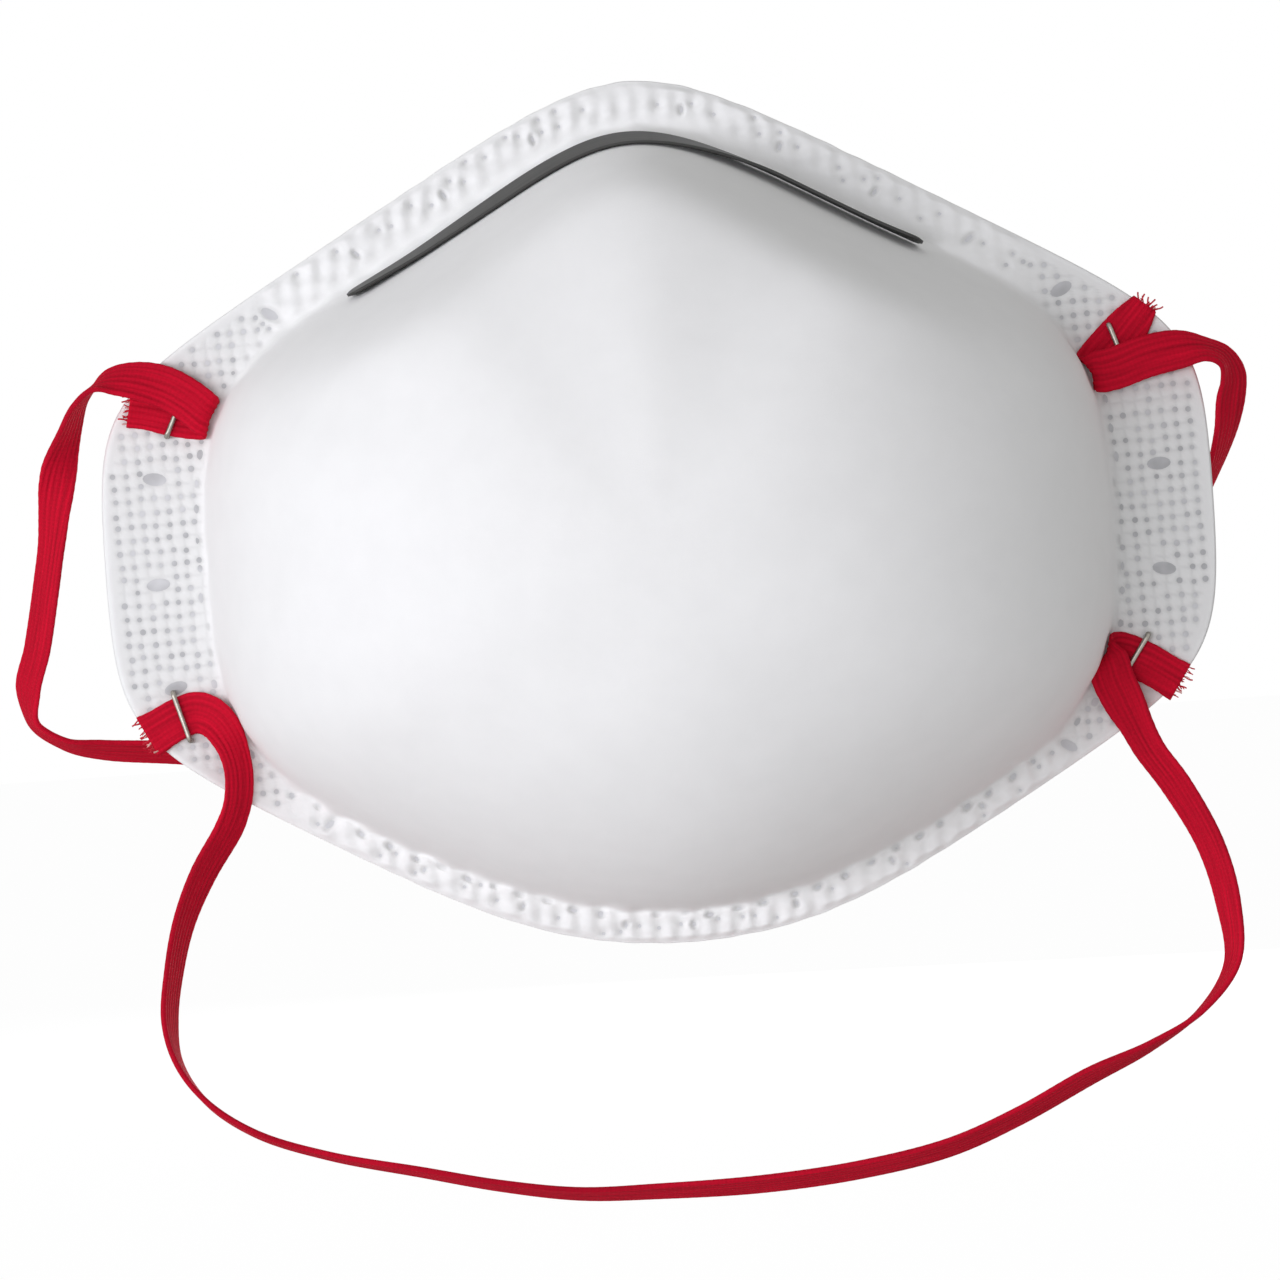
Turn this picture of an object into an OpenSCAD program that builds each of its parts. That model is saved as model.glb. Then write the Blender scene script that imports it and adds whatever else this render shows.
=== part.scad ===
// Disposable dust mask: a moulded cup of four nested layers with a flat welded flange,
// a bendable nose clip, a foam nose seal and two elastic head straps stapled to the flange.
// Millimetres, upright as worn: +Z up, the cup bulges towards -Y, the face is on the +Y side.
// The origin is the middle of the flange's back plane, which seals on the face.

/* [Face seal] */
// Half width of the flange, across the cheeks
seal_half_w = 74; // [70:0.5:80]
// Reach of the flange's straight upper edges from its middle
seal_upper = 54.5; // [52:0.5:58]
// Reach of the flange's straight lower edges from its middle
seal_lower = 58.5; // [56:0.5:62]
// Reach of the flange's crown, over the nose
seal_top = 62.5; // [60:0.5:66]
// Reach of the flange's lowest edge, under the chin
seal_bottom = 58; // [56:0.5:62]
// Slope of the straight edges, in degrees from level
seal_slope = 30; // [26:1:34]
// Sharpness of the outline's corners
seal_corner = 13.5; // [10:0.5:18]

/* [Cup] */
// Half width of the cup at its seam with the flange
cup_half_w = 60.2; // [58:0.2:62]
// Reach of the seam's straight upper edges from the middle
cup_upper = 48.1; // [46:0.1:49]
// Reach of the seam's straight lower edges from the middle
cup_lower = 54.6; // [52:0.1:55]
// Reach of the seam's lowest edge, under the chin
cup_bottom = 54.8; // [53:0.1:55]
// Sharpness of the seam's corners
cup_corner = 9.5; // [8:0.5:12]
// Depth of the cup, from the face plane to its front
cup_depth = 50; // [44:1:56]
// Height of the cup's foremost point above the flange's middle
cup_front_z = -4; // [-8:1:2]
// Slope of the straight wall under the nose clip, in degrees
brow_slope = 75; // [73:0.5:76]
// Width of that wall over the nose, seen from the front
brow_top = 8.5; // [7:0.5:9.5]
// Width of that wall beside the nose, seen from the front
brow_side = 11; // [9.5:0.5:12]

/* [Layers] */
// Thickness of the outer cover in the cup
cover_t = 0.5; // [0.3:0.05:0.8]
// Thickness of the filter web in the cup
filter_t = 0.4; // [0.2:0.05:0.8]
// Thickness of the support shell in the cup
shell_t = 1.2; // [0.8:0.1:1.8]
// Thickness of the inner lining in the cup
lining_t = 0.5; // [0.3:0.05:0.8]
// Thickness of the outer cover where the flange is welded flat
cover_weld_t = 0.3; // [0.2:0.05:0.5]
// Thickness of the filter web where the flange is welded flat
filter_weld_t = 0.2; // [0.1:0.05:0.4]
// Thickness of the support shell where the flange is welded flat
shell_weld_t = 0.4; // [0.3:0.05:0.6]
// Thickness of the inner lining where the flange is welded flat
lining_weld_t = 0.3; // [0.2:0.05:0.5]

/* [Nose clip and foam] */
// Width of the nose clip
clip_w = 5; // [4:0.25:6]
// Thickness of the nose clip
clip_t = 0.6; // [0.5:0.1:1]
// Distance of the clip's lower edge from the flange, up the wall
clip_rise = 6; // [5:0.25:6.5]
// How much nearer the clip's right wing lies to the flange
clip_drop = 2; // [0:0.5:3]
// Lean of the clip's right wing off the wall, in degrees
clip_lean = 12; // [0:1:14]
// Thickness of the nose foam
foam_t = 4; // [3:0.5:5]

/* [Straps and staples] */
// Width of the elastic straps
strap_w = 6; // [5:0.25:7]
// Thickness of the elastic straps
strap_t = 0.8; // [0.6:0.1:1]
// Diameter of the staple wire
wire_d = 0.7; // [0.5:0.05:0.8]
// Length of each clinched staple leg behind the flange
clinch_l = 2.6; // [2:0.1:3]

/* [Hidden] */
$fn = 32;

// Counts of the loft: steps round the cup, and rings from its seam to its front
STEPS = 52;
RINGS = 8;
// Sharpness of the turn from the brow's wall to the cup's front
BROW_CORNER = 8;
// Most that a strap twists between two of its sections, in degrees
TWIST_STEP = 7;
// Small running gaps: between a piece and the surface it lies on, and beside a staple leg
seat_gap = 0.05;
leg_gap = 0.05;

// Levels of the flange's layer faces above the face plane, and depths of the cup's layer faces
// inside its outer face, from the outside (0) to the inside (4)
flange_level = [
    lining_weld_t + shell_weld_t + filter_weld_t + cover_weld_t,
    lining_weld_t + shell_weld_t + filter_weld_t,
    lining_weld_t + shell_weld_t,
    lining_weld_t,
    0
];
cup_inset = [
    0,
    cover_t,
    cover_t + filter_t,
    cover_t + filter_t + shell_t,
    cover_t + filter_t + shell_t + lining_t
];
flange_t = flange_level[0];

// Strap levels in front of the flange: a stapled tail, the staple's crown, and a turn laid over it
tail_y = -(flange_t + seat_gap + strap_t/2);
crown_y = -(flange_t + 2*seat_gap + strap_t + wire_d/2);
over_y = crown_y - wire_d/2 - seat_gap - strap_t/2;

function total(v, i = 0) = i < len(v) ? v[i] + total(v, i + 1) : 0;
function unit(v) = v/norm(v);
function eased(x) = let (s = min(1, max(0, x))) s*s*(3 - 2*s);

// Outlines as rounded polygons: the reach in direction a, from the direction and reach of each edge
function reach(a, edges, corner) =
    pow(total([for (e = edges) pow(max(0, cos(a - e[0]))/e[1], corner)]), -1/corner);
function six_edges(side, upper, lower) = [
    [0, side], [180, side],
    [90 - seal_slope, upper], [90 + seal_slope, upper],
    [seal_slope - 90, lower], [-90 - seal_slope, lower]
];
function seal_edges() = concat(
    six_edges(seal_half_w, seal_upper, seal_lower), [[90, seal_top], [-90, seal_bottom]]);
function cup_edges(inset) = concat(
    six_edges(cup_half_w - inset, cup_upper - inset, cup_lower - inset), [[-90, cup_bottom - inset]]);
function rim(a) = reach(a, seal_edges(), seal_corner);
function seam(a, inset) = reach(a, cup_edges(inset), cup_corner);

// Cup profile from the seam (t = 0) to its front (t = 90), as a share u of the seam's reach and of the
// depth: round at the cheeks and chin, and over the nose a straight wall that turns at the brow
function noseward(a) = pow(max(0, sin(a)), 3);
function cup_radius(t, a) = pow(cos(t), 0.85 + 0.35*noseward(a)*cos(t));
function wall_rise(u, a) = tan(brow_slope)*seam(a, 0)*(1 - u)/cup_depth;
function dome(u) = sqrt(u*u + 1) - 1;
function brow_turn(a) = 1 - (brow_side + (brow_top - brow_side)*noseward(a))/seam(a, 0);
function front_rise(u, a) = 1 - (1 - wall_rise(brow_turn(a), a))*dome(u)/dome(brow_turn(a));
function rounded_least(p, q) = p*q/pow(pow(p, BROW_CORNER) + pow(q, BROW_CORNER), 1/BROW_CORNER);
function brow_share(a) = eased((sin(a) - 0.3)/0.5);
function cup_rise(t, a) = let (u = cup_radius(t, a))
    (1 - brow_share(a))*pow(sin(t), 1.15)
    + brow_share(a)*rounded_least(wall_rise(u, a), front_rise(u, a));

// Point on layer face i, at angle a and profile angle t
function face_at(i, a, t) = let (
    u = cup_radius(t, a),
    r = seam(a, cup_inset[i])*u,
    rise = cup_rise(t, a),
    front = flange_level[i]*(1 - rise) + (cup_depth - cup_inset[i])*rise
) [r*cos(a), -front, r*sin(a) + cup_front_z*(1 - u)];

function step_angle(j) = 360*j/STEPS;
function rim_at(i, a) = [rim(a)*cos(a), -flange_level[i], rim(a)*sin(a)];
function ring(i, t) = [for (j = [0:STEPS - 1]) face_at(i, step_angle(j), t)];
function layer_face(i) = concat(
    [for (j = [0:STEPS - 1]) rim_at(i, step_angle(j))],
    [for (k = [0:RINGS - 1]) each ring(i, 90*k/RINGS)],
    [face_at(i, 0, 90)]
);

// Closed layer between layer faces i (outside) and i + 1 (inside)
module layer(i) {
    outside = layer_face(i);
    inside = layer_face(i + 1);
    n = len(outside);
    peak = n - 1;
    next = function (j) (j + 1) % STEPS;
    walls = [for (k = [0:RINGS - 1], j = [0:STEPS - 1]) each
        [[k*STEPS + next(j), k*STEPS + j, (k + 1)*STEPS + next(j)],
         [(k + 1)*STEPS + next(j), k*STEPS + j, (k + 1)*STEPS + j]]];
    caps = [for (j = [0:STEPS - 1]) [RINGS*STEPS + next(j), RINGS*STEPS + j, peak]];
    skin = concat(walls, caps);
    back = [for (f = skin) [f[2] + n, f[1] + n, f[0] + n]];
    edge = [for (j = [0:STEPS - 1]) each
        [[j, next(j), n + j], [n + j, next(j), n + next(j)]]];
    polyhedron(points = concat(outside, inside), faces = concat(skin, back, edge));
}

// Staples: place on the flange and turn of the crown from upright, in degrees; each stands a little
// outside the widest part of the seam
staple_out = [2.8, 2.4, 4.9, 1.8];
STAPLES = [
    [-cup_half_w - staple_out[0], 18, 26],
    [cup_half_w + staple_out[1], 17.8, -18],
    [-cup_half_w - staple_out[2], -22.4, -16],
    [cup_half_w + staple_out[3], -23.2, 35]
];
crown_l = strap_w + 2*seat_gap + wire_d;
bend_r = wire_d*0.8;

module at_staple(s) {
    translate([s[0], 0, s[1]]) rotate([0, s[2], 0]) children();
}

module wire_run(l) {
    cylinder(d = wire_d, h = l);
}

module wire_bend() {
    rotate_extrude(angle = 90) translate([bend_r, 0]) circle(d = wire_d);
}

// Half of a staple: half the crown, a bend, the leg through the flange, a bend and the clinched tip
module half_staple() {
    leg_z = crown_l/2;
    back_y = seat_gap + wire_d/2;
    translate([0, crown_y, 0]) wire_run(leg_z - bend_r);
    translate([0, crown_y + bend_r, leg_z - bend_r]) rotate([0, 90, 0]) rotate([0, 0, 180]) wire_bend();
    translate([0, crown_y + bend_r, leg_z]) rotate([-90, 0, 0]) wire_run(back_y - crown_y - 2*bend_r);
    translate([0, back_y - bend_r, leg_z - bend_r]) rotate([0, 90, 0]) rotate([0, 0, 90]) wire_bend();
    translate([0, back_y, leg_z - bend_r - clinch_l]) wire_run(clinch_l);
}

module staple(s) {
    color("silver") at_staple(s) {
        half_staple();
        mirror([0, 0, 1]) half_staple();
    }
}

// Pierced holes for the staple legs
module leg_holes() {
    for (s = STAPLES, side = [-1, 1])
        at_staple(s) translate([0, -2*flange_t, side*crown_l/2]) rotate([-90, 0, 0])
            cylinder(d = wire_d + 2*leg_gap, h = 4*flange_t, $fn = 8);
}

module pierced_layer(i) {
    difference() {
        layer(i);
        leg_holes();
    }
}

module outer_cover() {
    color("white") pierced_layer(0);
}

module filter_layer() {
    color("aliceblue") pierced_layer(1);
}

module support_shell() {
    color("whitesmoke") pierced_layer(2);
}

module inner_lining() {
    color("ivory") pierced_layer(3);
}

// Strips that follow the cup's wall over the nose, both ways from the top: steps to each end
CLIP_STEPS = 7;
FOAM_STEPS = 6;
top_step = STEPS/4;

// Outward direction on layer face i between the seam and the first ring, at step j
function wall_up(i, j) = unit(face_at(i, step_angle(j), 90/RINGS) - face_at(i, step_angle(j), 0));
function wall_along(i, j) = unit(face_at(i, step_angle(j + 1), 0) - face_at(i, step_angle(j - 1), 0));
function wall_out(i, j) = unit(cross(wall_along(i, j), wall_up(i, j)));

// Closed strip from rings of equal length, capped at both ends
module strip(rings) {
    n = len(rings[0]);
    count = len(rings);
    points = [for (r = rings) each r];
    sides = [for (k = [0:count - 2], j = [0:n - 1]) let (m = (j + 1) % n) each
        [[k*n + m, k*n + j, (k + 1)*n + m], [(k + 1)*n + m, k*n + j, (k + 1)*n + j]]];
    first = [for (j = [1:n - 2]) [0, j, j + 1]];
    last = [for (j = [1:n - 2]) [(count - 1)*n, (count - 1)*n + j + 1, (count - 1)*n + j]];
    polyhedron(points = points, faces = concat(sides, first, last));
}

// The clip lies on the wall, but its right wing is bent to stand off it
function bent(j) = eased(2*(top_step - j)/CLIP_STEPS);
function clip_ring(j) = let (
    up = wall_up(0, j),
    out = wall_out(0, j),
    lean = clip_lean*bent(j),
    across = up*cos(lean) + out*sin(lean),
    thick = (out*cos(lean) - up*sin(lean))*clip_t,
    low = face_at(0, step_angle(j), 0) + up*(clip_rise - clip_drop*bent(j)) + out*2*seat_gap,
    high = low + across*clip_w
) [low, high, high + thick, low + thick];

module nose_clip() {
    color("dimgray") strip([for (j = [top_step - CLIP_STEPS:top_step + CLIP_STEPS]) clip_ring(j)]);
}

// Foam: from just inside the seam over the first ring to halfway to the second, thinned at its edges
function foam_ring(j) = let (
    a = step_angle(j),
    foot = face_at(4, a, 0),
    bend = face_at(4, a, 90/RINGS),
    high = (bend + face_at(4, a, 2*90/RINGS))/2,
    into = -wall_out(4, j),
    low = foot + (bend - foot)*0.3,
    gap = into*4*seat_gap,
    thin = gap + into*foam_t*0.6,
    thick = gap + into*foam_t
) [high + gap, bend + gap, low + gap, low + thin, bend + thick, high + thin];

module nose_foam() {
    color("gainsboro") strip([for (j = [top_step - FOAM_STEPS:top_step + FOAM_STEPS]) foam_ring(j)]);
}

// Straps: each row is a point on the middle of the band and the direction of its width there.
// A hinge line runs across both sides of a strap where its free loop begins, clear of the flange.
upper_hinge = [[-79.6, 1, 10.4], [77.4, 1, 10.4]];
lower_hinge = [[-59, -2.6, -36], [62.4, -2.6, -34]];
upper_along = unit(upper_hinge[1] - upper_hinge[0]);
lower_along = unit(lower_hinge[1] - lower_hinge[0]);
hinge_gap = [0, 0, 0.7];

UPPER_LEFT_END = [
    [[-69.2, tail_y, 19.6], [0.2, 0, 1]],
    [[-64, tail_y, 17.9], [0.2, 0, 1]],
    [[-60.4, tail_y, 17.1], [0.36, 0, 0.93]],
    [[-58.7, (tail_y + over_y)/2, 17.3], [0.36, 0, 0.93]],
    [[-60.2, over_y, 18.4], [0.36, 0, 0.93]],
    [[-64, over_y, 21.3], [0.3, 0, 0.95]],
    [[-68, over_y, 22.6], [0.15, 0.3, 0.95]],
    [[-71.4, -2.8, 22.8], [0, 0.7, 0.65]],
    [[-73.8, -2.6, 22], [0.12, 0.9, 0.35]],
    [[-75.8, -2, 20], [0.35, 0.85, 0.3]],
    [[-77.4, -1, 16.6], [0.55, 0.75, 0.2]],
    [[-78.8, 0.2, 13.2], [0.8, 0.5, 0.1]],
    [upper_hinge[0] + hinge_gap, upper_along]
];
UPPER_LOOP = [
    [upper_hinge[0], upper_along],
    [[-80.4, 2, 6.6], [0.9, -0.35, 0]],
    [[-81.2, 3.2, 2], [0.7, -0.7, 0]],
    [[-82.4, 4.6, -3.6], [0.63, -0.76, 0]],
    [[-84.4, 6.6, -12], [0.63, -0.76, 0]],
    [[-86.2, 8.2, -17.6], [0.6, -0.78, 0]],
    [[-85.8, 9.6, -22], [0.15, -0.95, 0.2]],
    [[-82, 11, -25], [0, -0.95, 0.25]],
    [[-77, 12.2, -26.2], [0, -0.9, 0.4]],
    [[-68, 14, -27.2], [0, -0.85, 0.5]],
    [[-52, 17, -29], [0, -0.8, 0.58]],
    [[-30, 20, -30], [0, -0.75, 0.65]],
    [[-4, 21.6, -29.4], [0, -0.75, 0.65]],
    [[22, 20.6, -26.4], [0, -0.75, 0.65]],
    [[46, 17.4, -20.4], [-0.1, -0.8, 0.6]],
    [[62, 13.4, -13], [-0.2, -0.9, 0.35]],
    [[71, 9.6, -5.4], [-0.3, -0.93, 0.1]],
    [[75, 6.2, 1.4], [-0.45, -0.88, 0]],
    [[76.8, 3.2, 6.6], [-0.9, -0.4, 0]],
    [upper_hinge[1], -upper_along]
];
UPPER_RIGHT_END = [
    [upper_hinge[1] + hinge_gap, upper_along],
    [[77.6, -0.6, 13.2], [0.9, 0.35, 0.1]],
    [[76.4, -2, 15.8], [0.35, 0.75, 0.5]],
    [[73.8, -2.7, 17], [0.05, 0.7, 0.7]],
    [[70.6, -3, 17.1], [0, 0.35, 0.93]],
    [[66, over_y, 16.4], [-0.1, 0, 1]],
    [[62, over_y, 15.2], [-0.2, 0, 1]],
    [[60.2, over_y, 14.8], [-0.45, 0, 0.9]],
    [[59, (tail_y + over_y)/2, 15.2], [-0.45, 0, 0.9]],
    [[60.2, tail_y, 16.4], [-0.45, 0, 0.9]],
    [[62.6, tail_y, 19], [-0.7, 0, 0.7]],
    [[66.4, tail_y, 22.8], [-0.7, 0, 0.7]]
];
LOWER_LEFT_END = [
    [[-70.6, tail_y, -24.6], [-0.3, 0, 1]],
    [[-65, tail_y, -22.4], [-0.3, 0, 1]],
    [[-63, tail_y, -21.9], [-0.1, 0, 1]],
    [[-61.8, tail_y - 0.6, -22], [0.15, 0.05, 0.95]],
    [[-60.6, tail_y - 1.6, -23.2], [0.5, 0.3, 0.75]],
    [[-59.4, tail_y - 2.9, -26.2], [0.6, 0.65, 0.3]],
    [[-58.6, tail_y - 2.7, -30.2], [0.7, 0.65, 0.05]],
    [[-58.6, tail_y - 1.6, -33.6], [0.95, 0.2, 0]],
    [lower_hinge[0] + hinge_gap, lower_along]
];
LOWER_LOOP = [
    [lower_hinge[0], lower_along],
    [[-60, -2.6, -38], [0.95, 0.2, -0.1]],
    [[-63.6, -2.6, -43.4], [0.55, 0.8, -0.25]],
    [[-66.6, -2.6, -49.6], [0.4, 0.9, -0.2]],
    [[-68.4, -2.8, -56], [0.32, 0.94, -0.1]],
    [[-69.4, -3, -62.6], [0.26, 0.96, 0]],
    [[-68.6, -3, -68.4], [0.05, 1, 0]],
    [[-65.2, -3, -73.8], [-0.05, 0.98, -0.1]],
    [[-59, -3, -78.4], [-0.06, 0.98, -0.14]],
    [[-49.6, -2.8, -82], [-0.05, 0.98, -0.17]],
    [[-37.6, -2.6, -85], [-0.05, 0.97, -0.22]],
    [[-27, -2.4, -87.6], [0, 0.96, -0.26]],
    [[-16.6, -2.2, -89.4], [0, 0.95, -0.3]],
    [[-6, -2, -89.8], [0, 0.93, -0.36]],
    [[7.4, -2, -89.8], [0, 0.91, -0.42]],
    [[20.8, -2, -88.8], [0, 0.9, -0.44]],
    [[33, -2.2, -86.6], [0.05, 0.9, -0.45]],
    [[42.6, -2.4, -83], [0.1, 0.9, -0.43]],
    [[52.2, -2.6, -78.4], [0.15, 0.91, -0.4]],
    [[60.4, -2.8, -75], [0.08, 0.97, -0.22]],
    [[67.4, -3, -70.8], [0, 1, -0.05]],
    [[72, -3, -64.6], [-0.24, 0.97, 0]],
    [[72, -2.8, -56.6], [-0.48, 0.87, 0]],
    [[70.2, -2.6, -48.8], [-0.55, 0.82, -0.1]],
    [[66.6, -2.6, -40.8], [-0.65, 0.7, -0.2]],
    [[63.4, -2.6, -36], [-0.9, 0.4, -0.15]],
    [lower_hinge[1], -lower_along]
];
LOWER_RIGHT_END = [
    [lower_hinge[1] + hinge_gap, lower_along],
    [[62, -3, -32], [0.95, -0.2, 0.3]],
    [[61, over_y, -28.8], [0.9, 0, 0.45]],
    [[60.2, over_y, -26], [0.8, 0, 0.6]],
    [[59.8, over_y, -24.2], [0.65, 0, 0.75]],
    [[59.4, (tail_y + over_y)/2, -22.8], [0.6, 0, 0.8]],
    [[60.4, tail_y, -22.6], [0.55, 0, 0.83]],
    [[62.8, tail_y, -23.8], [0.55, 0, 0.83]],
    [[67.6, tail_y, -27], [0.55, 0, 0.83]]
];

// Band section at one row: a flat bar with chamfered corners, square to its run
function band_ring(point, run, width) = let (
    across = unit(width),
    lean = norm(across - run*(across*run)),
    half = across*strap_w/2/lean,
    rise = unit(cross(run, across))*strap_t/2
) [
    point + half + rise*0.4, point + half*0.94 + rise, point - half*0.94 + rise, point - half + rise*0.4,
    point - half - rise*0.4, point - half*0.94 - rise, point + half*0.94 - rise, point + half - rise*0.4
];

function band_run(route, i) = unit(route[min(i + 1, len(route) - 1)][0] - route[max(i - 1, 0)][0]);

// Rows of a band with more between them where it twists, so that no step turns it far
function twist_steps(a, b) = ceil(acos(min(1, unit(a[1])*unit(b[1])))/TWIST_STEP + 0.01);
function finer(route) = concat(
    [for (i = [0:len(route) - 2]) each
        let (a = route[i], b = route[i + 1], steps = twist_steps(a, b))
        [for (k = [0:steps - 1]) let (t = k/steps)
            [a[0]*(1 - t) + b[0]*t, unit(a[1])*(1 - t) + unit(b[1])*t]]],
    [route[len(route) - 1]]);

module band(route) {
    rows = finer(route);
    color("crimson")
        strip([for (i = [0:len(rows) - 1]) band_ring(rows[i][0], band_run(rows, i), rows[i][1])]);
}

// Stapled end of a band, pierced by the staple's legs
module stapled_band(route) {
    difference() {
        band(route);
        leg_holes();
    }
}

module upper_strap_left_end() {
    stapled_band(UPPER_LEFT_END);
}

module upper_strap_loop() {
    band(UPPER_LOOP);
}

module upper_strap_right_end() {
    stapled_band(UPPER_RIGHT_END);
}

module lower_strap_left_end() {
    stapled_band(LOWER_LEFT_END);
}

module lower_strap_loop() {
    band(LOWER_LOOP);
}

module lower_strap_right_end() {
    stapled_band(LOWER_RIGHT_END);
}

module upper_left_staple() {
    staple(STAPLES[0]);
}

module upper_right_staple() {
    staple(STAPLES[1]);
}

module lower_left_staple() {
    staple(STAPLES[2]);
}

module lower_right_staple() {
    staple(STAPLES[3]);
}

outer_cover();
filter_layer();
support_shell();
inner_lining();
nose_clip();
nose_foam();
upper_strap_left_end();
upper_strap_loop();
upper_strap_right_end();
lower_strap_left_end();
lower_strap_loop();
lower_strap_right_end();
upper_left_staple();
upper_right_staple();
lower_left_staple();
lower_right_staple();
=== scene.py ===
"""Disposable dust mask: its looks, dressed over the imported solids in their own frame.

Lengths are in millimetres until a mesh is made, and metres from then on.
"""

import itertools
import math

import bpy
import numpy as np
from mathutils import Matrix, Vector
from mathutils.kdtree import KDTree


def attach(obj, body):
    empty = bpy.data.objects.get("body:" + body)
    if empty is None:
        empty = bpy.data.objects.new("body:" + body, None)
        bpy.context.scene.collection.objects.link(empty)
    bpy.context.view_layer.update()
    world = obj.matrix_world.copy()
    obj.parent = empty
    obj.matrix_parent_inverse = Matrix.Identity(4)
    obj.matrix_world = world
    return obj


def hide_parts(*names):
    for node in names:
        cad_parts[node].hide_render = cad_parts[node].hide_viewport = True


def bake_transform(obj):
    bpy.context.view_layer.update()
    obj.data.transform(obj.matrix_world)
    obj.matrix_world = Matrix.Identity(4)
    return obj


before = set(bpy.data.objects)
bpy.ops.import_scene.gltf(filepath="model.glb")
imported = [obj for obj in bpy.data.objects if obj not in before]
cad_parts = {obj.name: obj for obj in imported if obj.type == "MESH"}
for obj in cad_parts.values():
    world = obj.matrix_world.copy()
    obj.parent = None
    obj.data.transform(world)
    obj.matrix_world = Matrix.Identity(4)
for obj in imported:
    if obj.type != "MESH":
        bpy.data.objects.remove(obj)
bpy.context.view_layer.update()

bl_info = {
    "name": "Dust mask",
    "version": (1, 0, 0),
    "blender": (4, 5, 0),
    "location": "View3D > Sidebar > Dust mask",
    "description": "Builds a moulded cup dust mask with stapled elastic straps",
    "category": "Object",
}

MM = 0.001
BODY = "mask"

# Outlines, as the direction in degrees and the reach of each straight edge, and their corners' sharpness
SEAL_EDGES = (
    (0, 74), (180, 74), (60, 54.5), (120, 54.5), (-60, 58.5), (-120, 58.5), (90, 62.5), (-90, 58),
)
SEAL_CORNER = 13.5
CUP_EDGES = ((0, 60.2), (180, 60.2), (60, 48.1), (120, 48.1), (-60, 54.6), (-120, 54.6), (-90, 54.8))
CUP_CORNER = 9.5
CUP_DEPTH = 50
CUP_FRONT_Z = -4
# Powers that shape the cup's profile: its way in, what the nose adds to that, and its way out
WAY_IN, NOSE_WAY_IN, WAY_OUT = 0.85, 0.35, 1.15
# Brow: slope of its wall in degrees, width of the wall at the top and the side, and sharpness of its crease
BROW_SLOPE = 75
BROW_TOP = 8.5
BROW_SIDE = 11
BROW_CORNER = 8

# Faces of the four layers, outside to inside: depth inside the cup, and level above the face plane
FACES = ((0, 1.2), (0.5, 0.9), (0.9, 0.7), (2.1, 0.3), (2.6, 0))

# Points round the cup, and how many times as many round the flange
ROUND = 192
FINER = 6
# Rows of points: across the flange, up the foot of the wall to a lift in degrees, on to the front, and from
# the seam to the front of a plain face
FLANGE_ROWS = 43
FOOT_ROWS, FOOT_LIFT = 9, 12
FRONT_ROWS = 61
PLAIN_ROWS = 31

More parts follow.
